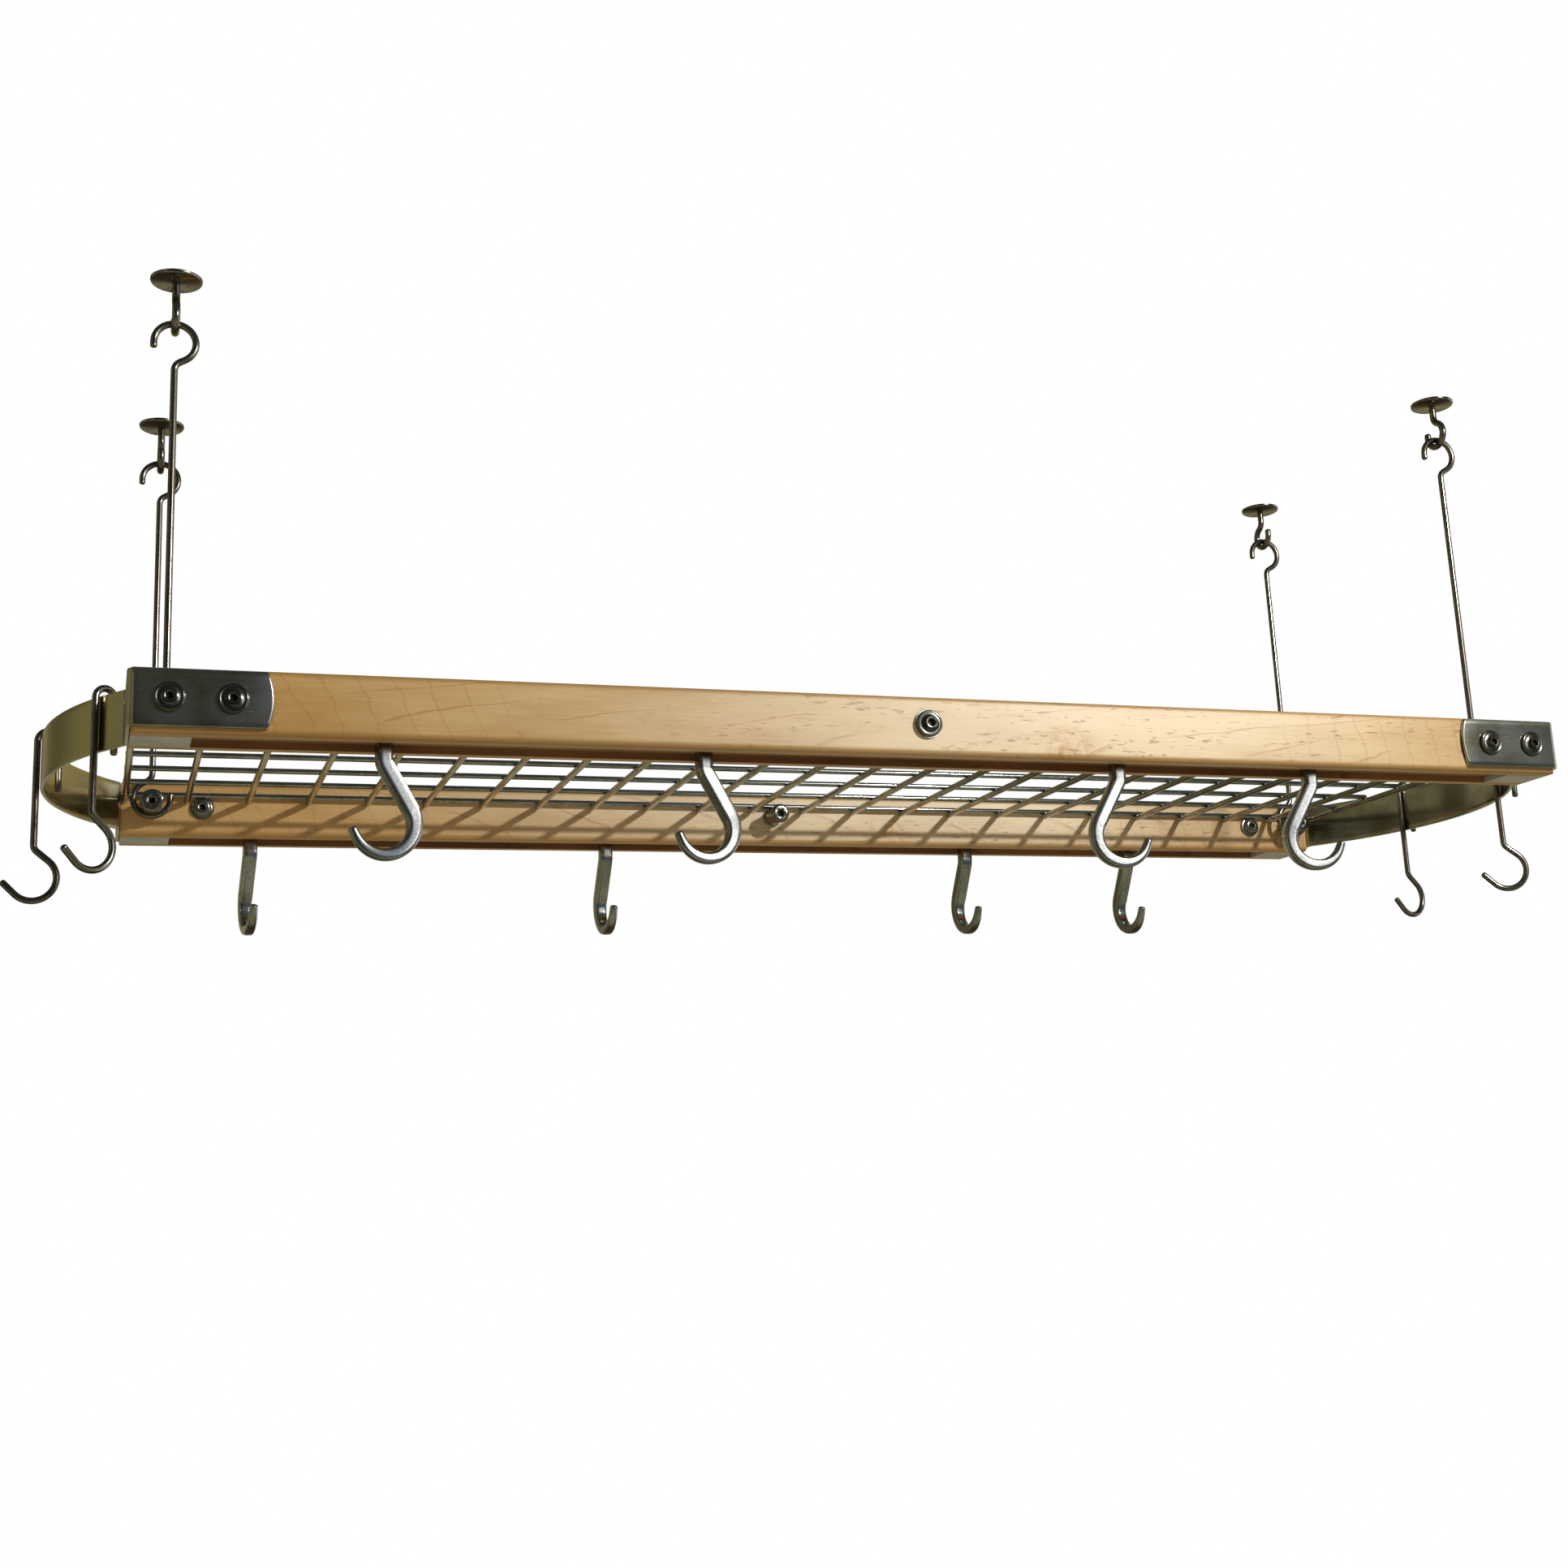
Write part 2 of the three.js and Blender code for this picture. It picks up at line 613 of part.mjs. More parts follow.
// Hanger rod in the X-Z plane, with its lower pivot at the origin. Both ends are the same
// hook, one turned over, so the bowls open to opposite sides.
function makeHangerRod() {
  const hook = kinkAndBowl(ROD_KINK_ANGLE, ROD_KINK_RADIUS, ROD_BOWL_RADIUS, 180);
  const innerBowl = ROD_BOWL_RADIUS - ROD_DIAMETER / 2;
  const lowerCentre = innerBowl - SPOOL_BARREL_DIAMETER / 2 - FIT;
  const upperCentre = ROD_PIVOT_LENGTH - innerBowl + CEILING_WIRE_DIAMETER / 2 + FIT;
  const shank = upperCentre - lowerCentre - 2 * hook.drop;
  const tip = { straight: ROD_TIP_LENGTH };
  const start = [-ROD_BOWL_RADIUS, upperCentre - ROD_TIP_LENGTH];
  const stations = bendingTable(start, 90, [
    tip,
    { bend: -(180 + ROD_KINK_ANGLE), radius: ROD_BOWL_RADIUS, parts: BOWL_PARTS },
    hook.steps[1],
    { bend: ROD_KINK_ANGLE, radius: ROD_KINK_RADIUS, parts: KINK_PARTS },
    { straight: shank },
    ...hook.steps,
    tip,
  ]);
  return wire(stations, ROD_DIAMETER);
}

// Ceiling hook on its round plate, in the X-Z plane, with the plate's top face at z = 0
function makeCeilingHook() {
  const hook = kinkAndBowl(CEILING_KINK_ANGLE, CEILING_KINK_RADIUS, CEILING_BOWL_RADIUS, 180);
  const kinkZ = -CEILING_HOOK_DROP + CEILING_BOWL_RADIUS + hook.drop;
  const start = -CEILING_PLATE_THICKNESS / 2;
  const stations = bendingTable([0, start], -90, [
    { straight: start - kinkZ },
    ...hook.steps,
    { straight: CEILING_TIP_LENGTH },
  ]);
  const plate = turned([
    [0, -CEILING_PLATE_THICKNESS],
    [(CEILING_PLATE_DIAMETER - CEILING_PLATE_THICKNESS) / 2, -CEILING_PLATE_THICKNESS],
    [CEILING_PLATE_DIAMETER / 2, -CEILING_PLATE_THICKNESS / 2],
    [CEILING_PLATE_DIAMETER / 2, 0],
    [0, 0],
  ], PLATE_SIDES);
  return geometryOf(joined(solid(plate), solid(wire(stations, CEILING_WIRE_DIAMETER))));
}

// Track hook about its swivel axis, with z = 0 on the rail's underside and the tip on +X.
// The stock is square with bevelled edges, and thins to a round blunt tip along the bowl.
function makeTrackHook() {
  const hook = kinkAndBowl(TRACK_KINK_ANGLE, TRACK_KINK_RADIUS, TRACK_BOWL_RADIUS,
    TRACK_BOWL_END);
  const neckTop = SLOT_MOUTH_DEPTH - FIT;
  const stations = bendingTable([0, neckTop], -90, [
    { straight: neckTop + TRACK_NECK_BELOW_RAIL },
    ...hook.steps,
    { straight: TRACK_TIP_LENGTH },
    { straight: TRACK_TIP_ROUNDING },
  ]);
  const last = stations.length - 1;
  const bowlStart = last - 2 - BOWL_PARTS;
  const roundBevel = 1 - Math.tan(Math.PI / 8);
  const sectionAt = (i) => {
    const share = Math.min(1, Math.max(0, i - bowlStart) / (last - 1 - bowlStart));
    const end = i === last ? TRACK_BLUNT_TIP_DIAMETER : TRACK_TIP_DIAMETER;
    const half = THREE.MathUtils.lerp(TRACK_STOCK, end, share) / 2;
    return barSection(half, THREE.MathUtils.lerp(TRACK_EDGE_BEVEL, half * roundBevel, share));
  };
  const rivetFloor = SLOT_MOUTH_DEPTH + SLOT_LIP_THICKNESS + 2 * FIT + GLIDE_FLANGE_THICKNESS;
  const rivetTop = rivetFloor + RIVET_HEAD_HEIGHT;
  const stem = bar(TRACK_STEM_DIAMETER / 2, 0, rivetTop - FIT, TURNED_SIDES);
  const rivet = bar(RIVET_HEAD_DIAMETER / 2, rivetFloor, rivetTop, TURNED_SIDES);
  return geometryOf(joined(solid(swept(stations, sectionAt)), solid(stem), solid(rivet)));
}

// Flanged bush that runs on the slot's lips and carries a hook's stem
function makeGlide() {
  const bore = TRACK_STEM_DIAMETER / 2 + FIT;
  const lip = SLOT_MOUTH_DEPTH + SLOT_LIP_THICKNESS + FIT;
  const low = SLOT_MOUTH_DEPTH + FIT;
  return turned([
    [bore, low],
    [GLIDE_HUB_DIAMETER / 2, low],
    [GLIDE_HUB_DIAMETER / 2, lip],
    [GLIDE_FLANGE_DIAMETER / 2, lip],
    [GLIDE_FLANGE_DIAMETER / 2, lip + GLIDE_FLANGE_THICKNESS],
    [bore, lip + GLIDE_FLANGE_THICKNESS],
    [bore, low],
  ], TURNED_SIDES);
}

// Wire hook over a band, in the X-Z plane. The band's middle is at x = 0 and its top edge
// at z = 0. The shank hangs on the -X side and the back leg on the +X side.
function makeBandHook() {
  const radius = BAND_WIRE_DIAMETER / 2;
  const topInner = BAND_HOOK_GAP / 2;
  const topRadius = topInner + radius;
  const shankX = -BAND_THICKNESS / 2 - 2 * FIT - radius;
  const bandEdge = topInner - 2 * FIT;
  const seat = Math.sqrt((topInner - FIT) ** 2 - bandEdge ** 2) - FIT;
  const hook = kinkAndBowl(BAND_KINK_ANGLE, BAND_KINK_RADIUS, BAND_BOWL_RADIUS, BAND_BOWL_END);
  const mirrored = hook.steps.map((step) => (step.bend ? { ...step, bend: -step.bend } : step));
  const stations = bendingTable([shankX + 2 * topRadius, -seat - BAND_HOOK_BACK_LEG], 90, [
    { straight: BAND_HOOK_BACK_LEG },
    { bend: 180, radius: topRadius, parts: HOOK_TOP_PARTS },
    { straight: BAND_HOOK_SHANK },
    ...mirrored,
    { straight: BAND_TIP_LENGTH },
  ]);
  return wire(stations, BAND_WIRE_DIAMETER);
}

// Turns a piece made along Z so that its top points out through a rail's outer face
function facingOut(geometry, side) {
  return geometry.clone().rotateX((side * -Math.PI) / 2);
}

function addFasteners(row, side) {
  const plateSeat = 2 * FIT + BAND_THICKNESS;
  const washerSeat = 2 * FIT + WASHER_THICKNESS;
  const bore = RAIL_WIDTH + FIT;
  BOLT_PLACES.forEach((x, index) => {
    const middle = x === 0;
    const second = Math.abs(x) === SECOND_BOLT_X;
    const seat = middle ? washerSeat : plateSeat;
    const depth = second ? NUT_THREAD_DEPTH : SPOOL_THREAD_DEPTH;
    const bolt = facingOut(makeBolt(seat + bore + depth - 2 * FIT), side);
    place(`bolt_${row}_${index + 1}`, bolt, BRIGHT_STEEL,
      { at: [x, side * (HALF_DEPTH + seat), BOLT_Z] });
    const end = x < 0 ? 'left' : 'right';
    const inner = { at: [x, side * (RAIL_INNER - FIT), BOLT_Z] };
    if (middle) {
      place(`washer_${row}`, facingOut(makeWasher(), side), BRIGHT_STEEL,
        { at: [x, side * (HALF_DEPTH + FIT), BOLT_Z] });
      const spool = makeSpool(MIDDLE_SPOOL_LENGTH, MIDDLE_SPOOL_HEAD_DIAMETER);
      place(`spool_${row}_middle`, facingOut(spool, -side), BRIGHT_STEEL, inner);
    } else if (second) {
      place(`cap_nut_${row}_${end}`, facingOut(makeNut(), -side), BRIGHT_STEEL, inner);
    } else {
      const spool = makeSpool(SPOOL_LENGTH, SPOOL_HEAD_DIAMETER);
      place(`spool_${row}_${end}`, facingOut(spool, -side), BRIGHT_STEEL, inner);
    }
  });
}

function addTrack(row, side, hooks) {
  const y = side * RAIL_CENTRE;
  const stopX = HALF_LENGTH - STOP_LENGTH / 2;
  place(`slot_stop_${row}_left`, makeStop(), ZINC, { at: [-stopX, y, UNDERSIDE_Z] });
  place(`slot_stop_${row}_right`, makeStop(), ZINC, { at: [stopX, y, UNDERSIDE_Z] });
  hooks.forEach((hook, index) => {
    const at = [hook.end * (HALF_LENGTH - hook.inset), y, UNDERSIDE_Z];
    place(`glide_${row}_${index + 1}`, makeGlide(), NYLON, { at });
    place(`track_hook_${row}_${index + 1}`, makeTrackHook(), BRIGHT_STEEL,
      { at, turn: hook.turn });
  });
}

function addHangers(row, side) {
  for (const [end, x] of [['left', -END_BOLT_X], ['right', END_BOLT_X]]) {
    place(`hanger_rod_${row}_${end}`, makeHangerRod(), BRIGHT_STEEL,
      { at: [x, side * ROD_Y, BOLT_Z] });
    place(`ceiling_hook_${row}_${end}`, makeCeilingHook(), BRIGHT_STEEL,
      { at: [x, side * ROD_Y, 0], turn: side * -90 });
  }
}

// Hooks over a bow. The tips of both sets point to the left, so on the right-hand bow the
// shanks hang inside the band.
function addBandHooks(end, side, angles) {
  angles.forEach((degrees, index) => {
    const angle = side > 0 ? radians(degrees) : Math.PI - radians(degrees);
    const at = [
      side * BOW_CENTRE_X + BOW_RADIUS * Math.cos(angle),
      BOW_RADIUS * Math.sin(angle),
      BAND_TOP_Z,
    ];
    place(`band_hook_${end}_${index + 1}`, makeBandHook(), BRIGHT_STEEL,
      { at, turn: side * degrees });
  });
}

place('rail_front', makeRail(-1), MAPLE);
place('rail_back', makeRail(1), MAPLE);
const rightBand = makeRightBand();
place('end_band_right', geometryOf(rightBand), BRUSHED_STEEL);
place('end_band_left', geometryOf(rightBand.rotate([0, 0, 180])), BRUSHED_STEEL);
place('shelf_grid', makeShelf(), CHROME);
addFasteners('front', -1);
addFasteners('back', 1);
addTrack('front', -1, FRONT_HOOKS);
addTrack('back', 1, BACK_HOOKS);
addHangers('front', -1);
addHangers('back', 1);
addBandHooks('left', -1, LEFT_BAND_HOOKS);
addBandHooks('right', 1, RIGHT_BAND_HOOKS);

export default rack;
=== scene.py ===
import math

import bpy
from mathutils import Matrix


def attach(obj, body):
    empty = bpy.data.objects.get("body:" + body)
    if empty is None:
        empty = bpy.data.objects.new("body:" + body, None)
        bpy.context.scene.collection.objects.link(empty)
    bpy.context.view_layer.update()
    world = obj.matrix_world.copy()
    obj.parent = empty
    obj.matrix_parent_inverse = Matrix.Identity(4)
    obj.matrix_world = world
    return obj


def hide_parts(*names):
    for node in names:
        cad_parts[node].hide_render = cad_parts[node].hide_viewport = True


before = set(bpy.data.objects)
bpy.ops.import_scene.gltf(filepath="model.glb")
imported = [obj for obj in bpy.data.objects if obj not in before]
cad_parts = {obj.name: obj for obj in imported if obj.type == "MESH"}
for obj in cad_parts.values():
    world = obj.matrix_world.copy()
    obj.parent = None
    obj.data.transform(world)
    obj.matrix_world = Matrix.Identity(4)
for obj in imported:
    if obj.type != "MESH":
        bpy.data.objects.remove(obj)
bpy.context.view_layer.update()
scene = bpy.context.scene

# Studio. The rack hangs in a softly lit room against white, with one small lamp in front,
# to the right and above, which throws the wires' crisp shadows down and to the left.
camera_data = bpy.data.cameras.new("photo_camera")
camera_data.sensor_width = 36
camera_data.lens = 46.58
camera_data.shift_x = -0.0092
camera_data.shift_y = -0.0378
camera_data.clip_end = 60
camera = bpy.data.objects.new("photo_camera", camera_data)
camera.location = (-0.6052, -1.6234, -0.6944)
camera.rotation_euler = [math.radians(a) for a in (103.191, 2.636, -18.974)]
scene.collection.objects.link(camera)
scene.camera = camera
scene.view_settings.view_transform = "Standard"


def linear(hex_colour):
    """An sRGB hex colour as linear red, green, blue and alpha."""
    parts = [int(hex_colour[i:i + 2], 16) / 255 for i in (1, 3, 5)]
    return (*[c / 12.92 if c <= 0.04045 else ((c + 0.055) / 1.055) ** 2.4 for c in parts], 1.0)


def add(tree, kind, settings=None, inputs=None):
    """Adds a node. An input takes a value, a socket, or a node with one live output."""
    node = tree.nodes.new(kind)
    for name, value in (settings or {}).items():
        setattr(node, name, value)
    for name, value in (inputs or {}).items():
        if isinstance(name, str):
            target = next(s for s in node.inputs if s.enabled and s.name == name)
        else:
            target = node.inputs[name]
        if isinstance(value, bpy.types.Node):
            value = next(s for s in value.outputs if s.enabled)
        if isinstance(value, bpy.types.NodeSocket):
            tree.links.new(value, target)
        else:
            target.default_value = value
    return node


def layer(tree, under, over, value, start, full):
    """Lays one colour over another, from where the value is at start to where it is full."""
    share = add(tree, "ShaderNodeMapRange", {"interpolation_type": "SMOOTHSTEP"}, {
        "Value": value, "From Min": start, "From Max": full})
    return add(tree, "ShaderNodeMix", {"data_type": "RGBA"},
               {"Factor": share, "A": under, "B": over})


room = bpy.data.worlds.new("white_room")
room.use_nodes = True
tree = room.node_tree
tree.nodes.clear()
direction = add(tree, "ShaderNodeSeparateXYZ", inputs={
    "Vector": add(tree, "ShaderNodeTexCoord").outputs["Generated"]}).outputs
# What the metal mirrors: a dark room, bluer towards the front right and khaki beyond that,
# dim olive walls behind, khaki and pale walls on the left, a bright one far to the right, a
# dim ceiling and a brown floor, paler in front. Bare wood gets an even warm glow.
front = layer(tree, linear("#3F3E37"), linear("#57697E"), direction["X"], 0.08, 0.26)
front = layer(tree, front, linear("#46524F"), direction["X"], 0.42, 0.60)
front = layer(tree, front, linear("#8A8164"), direction["X"], 0.76, 0.86)
left = layer(tree, linear("#8C8768"), linear("#6F6A54"), direction["Y"], -0.05, -0.25)
left = layer(tree, left, linear("#DCDAD2"), direction["Y"], -0.50, -0.75)
back = layer(tree, linear("#605B42"), linear("#A79D78"), direction["X"], -0.2, 0.4)
ground = layer(tree, linear("#4A4234"), linear("#959278"), direction["Y"], 0.2, -0.3)
walls = front
for over, axis, start, full in (
        (back, "Y", -0.10, 0.50), (left, "X", -0.60, -0.82),
        (linear("#A69C7C"), "Y", 0.86, 0.96), (linear("#F0ECF4"), "X", 0.86, 0.96),
        (ground, "Z", -0.25, -0.60), (linear("#474C50"), "Z", 0.45, 0.75)):
    walls = layer(tree, walls, over, direction[axis], start, full)
mirrored = add(tree, "ShaderNodeBackground", inputs={"Color": walls, "Strength": 1.0})
warmth = layer(tree, linear("#E0B878"), linear("#FFF0DA"), direction["Z"], -0.8, 0.8)
glow = add(tree, "ShaderNodeBackground", inputs={"Color": warmth, "Strength": 0.29})
white = add(tree, "ShaderNodeBackground", inputs={"Color": linear("#FFFFFF"), "Strength": 1.0})
ray = add(tree, "ShaderNodeLightPath").outputs
lit = add(tree, "ShaderNodeMixShader", inputs={0: ray["Is Glossy Ray"], 1: glow, 2: mirrored})
lit = add(tree, "ShaderNodeMixShader", inputs={0: ray["Is Camera Ray"], 1: lit, 2: white})
add(tree, "ShaderNodeOutputWorld", inputs={"Surface": lit})
scene.world = room


def lamp(name, place, target, size, watts, colour):
    data = bpy.data.lights.new(name, "AREA")
    data.shape = "DISK"
    data.size = size
    data.energy = watts
    data.color = linear(colour)[:3]
    obj = bpy.data.objects.new(name, data)
    obj.location = place
    x, y, z = (t - p for t, p in zip(target, place))
    obj.rotation_euler = (math.atan2(math.hypot(x, y), -z), 0, math.atan2(y, x) - math.pi / 2)
    scene.collection.objects.link(obj)
    return obj


lamp("key_lamp", (0.88, -1.5, 0.32), (0.1, 0.0, -0.35), 0.10, 24, "#FFF9F0")
# A wide soft lamp behind fills in the side that is turned away from the photograph
back_lamp = lamp("back_lamp", (-0.9, 2.4, 0.7), (0.0, 0.0, -0.35), 1.6, 42, "#FFFBF4")
back_lamp.visible_glossy = False


def new_material(name):
    material = bpy.data.materials.new(name)
    material.use_nodes = True
    material.node_tree.nodes.clear()
    return material, material.node_tree


def sheet(name, corners, material):
    """A flat stage piece with four corners."""
    mesh = bpy.data.meshes.new(name)
    mesh.from_pydata(corners, [], [(0, 1, 2, 3)])
    mesh.materials.append(material)
    obj = bpy.data.objects.new(name, mesh)
    scene.collection.objects.link(obj)
    return obj


# The floor glows a little towards the camera, so that it looks pale and keeps its shadows
FLOOR_REACH = 3.2
FLOOR_Z = -1.9
floor_paint, tree = new_material("white_floor")
paint = add(tree, "ShaderNodeBsdfPrincipled",
            inputs={"Base Color": linear("#F4F3F0"), "Roughness": 0.8})
lift = add(tree, "ShaderNodeEmission", inputs={"Color": linear("#F6F7FA"), "Strength": 0.46})
pale = add(tree, "ShaderNodeAddShader", inputs={0: paint, 1: lift})
seen = add(tree, "ShaderNodeLightPath").outputs["Is Camera Ray"]
paint = add(tree, "ShaderNodeMixShader", inputs={0: seen, 1: paint, 2: pale})
add(tree, "ShaderNodeOutputMaterial", inputs={"Surface": paint})
floor = sheet("floor", [(x * FLOOR_REACH, y * FLOOR_REACH, FLOOR_Z)
                        for x, y in ((-1, -1), (1, -1), (1, 1), (-1, 1))], floor_paint)
floor.visible_glossy = False

# A lit white screen in front on the right, seen only in mirror reflections
SCREEN_Y = -3.0
screen_cloth, tree = new_material("lit_screen_cloth")
cloth = add(tree, "ShaderNodeEmission", inputs={"Color": linear("#FFFFFF"), "Strength": 3.2})
add(tree, "ShaderNodeOutputMaterial", inputs={"Surface": cloth})
screen = sheet("lit_screen", [(0.92, SCREEN_Y, -0.35), (1.85, SCREEN_Y, -0.35),
                              (1.85, SCREEN_Y, 0.80), (0.92, SCREEN_Y, 0.80)], screen_cloth)
screen.visible_camera = False
screen.visible_diffuse = False
screen.visible_shadow = False

# Rails. Two hard maple boards with rounded edges and a stepped slot along the underside.
# The wood is planed, sanded and sealed with a thin satin lacquer; its rounded edges are a
# darker honey, and inside the slot it has no coat and is painted dark, as recess shade.
RAIL_LENGTH = 1.168
RAIL_WIDTH = 0.056
RAIL_HEIGHT = 0.0465
RACK_DEPTH = 0.442
EDGE_ROUND = 0.0045
EDGE_STEPS = 8
END_ROUND = 0.0037
UNDERSIDE = -0.36625
SLOT_MOUTH = (0.0315, 0.0055)
SLOT_NECK = (0.011, 0.009)
SLOT_HEAD = (0.021, 0.0165)
RAIL_CENTRE = RACK_DEPTH / 2 - RAIL_WIDTH / 2


def skin(rings):
    """Faces between equal rings of points, each ring closed on itself, and over both ends."""
    points = [p for ring in rings for p in ring]
    count = len(rings[0])
    faces = []
    for row in range(len(rings) - 1):
        for i in range(count):
            a = row * count + i
            b = row * count + (i + 1) % count
            faces.append((a, b, b + count, a + count))
    faces.append(tuple(reversed(range(count))))
    faces.append(tuple(range((len(rings) - 1) * count, len(rings) * count)))
    return points, faces


def make_piece(name, points, faces, node, body, materials, sharp=38):
    mesh = bpy.data.meshes.new(name)
    mesh.from_pydata(points, [], faces)
    for material in materials:
        mesh.materials.append(material)
    mesh.validate()
    mesh.shade_smooth()
    mesh.set_sharp_from_angle(angle=math.radians(sharp))
    piece = bpy.data.objects.new(name, mesh)
    scene.collection.objects.link(piece)
    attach(piece, body)
    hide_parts(node)
    return piece


def maple(name, lacquered):
    material, tree = new_material(name)
    place = add(tree, "ShaderNodeTexCoord").outputs["Object"]
    axes = add(tree, "ShaderNodeSeparateXYZ", inputs={"Vector": place}).outputs

    # Patterns, by their scale along, across and up the board. Their cells are about one
    # over the scale in metres: clouds 200 by 40 mm, fibres 45 by 1.2 mm, which is coarser
    # than the real ones so that they show, flecks 12 by 2 mm.
    patterns = {}
    for key, scale, detail, roughness, warp in (
            ("clouds", (5.0, 24.0, 24.0), 5.0, 0.6, 0.0),
            ("breaks", (7.0, 40.0, 40.0), 3.0, 0.6, 0.0),
            ("fibre", (22.0, 820.0, 820.0), 4.0, 0.65, 0.0),
            ("crowds", (5.0, 18.0, 18.0), 2.0, 0.6, 0.0),
            ("flecks", (85.0, 460.0, 460.0), 2.0, 0.5, 0.0),
            ("ragged", (70.0, 60.0, 95.0), 5.0, 0.7, 1.0)):
        spot = add(tree, "ShaderNodeMapping", inputs={"Vector": place, "Scale": scale})
        patterns[key] = add(tree, "ShaderNodeTexNoise", inputs={
            "Vector": spot, "Scale": 1.0, "Detail": detail, "Roughness": roughness,
            "Distortion": warp}).outputs["Fac"]

    def marked(under, over, strength, *limits):
        """A colour over another where each of the values given lies within its limits."""
        share = strength
        for value, start, full in limits:
            within = add(tree, "ShaderNodeMapRange", {"interpolation_type": "SMOOTHSTEP"}, {
                "Value": value, "From Min": start, "From Max": full})
            share = add(tree, "ShaderNodeMath", {"operation": "MULTIPLY"}, {0: within, 1: share})
        return add(tree, "ShaderNodeMix", {"data_type": "RGBA"},
                   {"Factor": share, "A": under, "B": linear(over)})

    # Sapwood: honey at the left-hand end, cream in the middle and amber towards the right,
    # each with clouds of a darker tone. The darker ends are partly the wood's own tone and
    # partly painted shade, which evens out the key lamp's light along the board. The slot's
    # wood is painted darker, as the shade in the recess.
    def clouded(light, dark):
        return layer(tree, linear(light), linear(dark), patterns["clouds"], 0.36, 0.66)

    if lacquered:
        colour = layer(tree, clouded("#D6B274", "#C59A58"), clouded("#E3D2AE", "#D2BD96"),
                       axes["X"], -0.55, 0.05)
        colour = layer(tree, colour, clouded("#C8AC7C", "#B99660"), axes["X"], 0.26, 0.62)
    else:
        # Painted shade: the slot's faces are a darker brown, for the shade inside the recess
        colour = clouded("#9A7246", "#7A5733")
    # Growth rings, cut lengthwise: thin darker lines that wander and close in long arches
    log = add(tree, "ShaderNodeMapping", inputs={
        "Vector": place, "Rotation": (0.0, math.radians(1.2), math.radians(20)),
        "Location": (0.0, 0.11, 0.372), "Scale": (0.13, 1.0, 1.0)})
    rings = add(tree, "ShaderNodeTexWave",
                {"wave_type": "RINGS", "rings_direction": "X", "wave_profile": "SAW"},
                {"Vector": log, "Scale": 60.0, "Distortion": 3.0,
                 "Detail": 3.0, "Detail Scale": 0.7, "Detail Roughness": 0.45})
    colour = marked(colour, "#A06E3A" if lacquered else "#3E2A17", 0.50,
                    (rings.outputs["Fac"], 0.90, 0.99), (patterns["breaks"], 0.40, 0.62))
    if lacquered:
        # Near both ends the saw crossed the turn of the rings: nested arches 24 mm apart
        turn = add(tree, "ShaderNodeMapping", inputs={
            "Vector": place, "Location": (0.36, 0.0, 0.372), "Scale": (0.55, 1.0, 1.0)})
        arches = add(tree, "ShaderNodeTexWave",
                     {"wave_type": "RINGS", "rings_direction": "Y", "wave_profile": "SAW"},
                     {"Vector": turn, "Scale": 24.0, "Distortion": 3.0,
                      "Detail": 3.0, "Detail Scale": 1.3, "Detail Roughness": 0.5})
        from_middle = add(tree, "ShaderNodeMath", {"operation": "ABSOLUTE"}, {0: axes["X"]})
        colour = marked(colour, "#A3642A", 0.22,
                        (arches.outputs["Fac"], 0.88, 0.98), (from_middle, 0.27, 0.38))
    shade = add(tree, "ShaderNodeMapRange", inputs={
        "Value": patterns["fibre"], "From Min": 0.3, "From Max": 0.7,
        "To Min": 0.91, "To Max": 1.05})
    colour = add(tree, "ShaderNodeMix", {"data_type": "RGBA", "blend_type": "MULTIPLY"},
                 {"Factor": 1.0, "A": colour, "B": shade})
    # Flecks: short brown dashes, crowded in some places and rare at the left-hand end
    colour = marked(colour, "#8A5530", 0.72, (patterns["crowds"], 0.37, 0.55),
                    (patterns["flecks"], 0.61, 0.69), (axes["X"], -0.42, 0.12))
    if lacquered:
        # One mineral streak, 45 mm long, at the lower edge just right of the middle
        face_place = add(tree, "ShaderNodeMapping",
                         inputs={"Vector": place, "Scale": (1.0, 0.0, 1.3)})
        streak = add(tree, "ShaderNodeVectorMath", {"operation": "DISTANCE"},
                     {0: face_place, 1: (0.118, 0.0, -0.4680)})
        colour = marked(colour, "#B58435", 0.85, (streak, 0.036, 0.006),
                        (patterns["ragged"], 0.38, 0.66))
        # The rounded lower and upper edges, about 4 mm wide, and the underside are coloured
        # a darker honey; the flat top stays as pale as the sides
        off = add(tree, "ShaderNodeMath", {"operation": "SUBTRACT"},
                  {0: axes["Z"], 1: UNDERSIDE + RAIL_HEIGHT / 2})
        off = add(tree, "ShaderNodeMath", {"operation": "ABSOLUTE"}, {0: off})
        facing = add(tree, "ShaderNodeSeparateXYZ", inputs={
            "Vector": add(tree, "ShaderNodeTexCoord").outputs["Normal"]}).outputs
        colour = marked(colour, "#A67E3C", 0.75,
                        (off, RAIL_HEIGHT / 2 - 0.0058, RAIL_HEIGHT / 2 - 0.0016),
                        (facing["Z"], 0.98, 0.85))
    shine = add(tree, "ShaderNodeMapRange", inputs={
        "Value": patterns["fibre"], "To Min": 0.38 if lacquered else 0.7,
        "To Max": 0.56 if lacquered else 0.9})
    relief = add(tree, "ShaderNodeBump", inputs={
        "Height": patterns["fibre"], "Strength": 0.20, "Distance": 0.0002})
    wood = add(tree, "ShaderNodeBsdfPrincipled", inputs={
        "Base Color": colour, "Roughness": shine, "Normal": relief,
        "Coat Weight": 0.15 if lacquered else 0.0, "Coat Roughness": 0.35})
    add(tree, "ShaderNodeOutputMaterial", inputs={"Surface": wood})
    return material


lacquered_maple = maple("lacquered_hard_maple", True)
# The slot's faces have their own maple, painted darker as shade in the recess
shaded_slot_maple = maple("slot_maple_with_painted_shade", False)


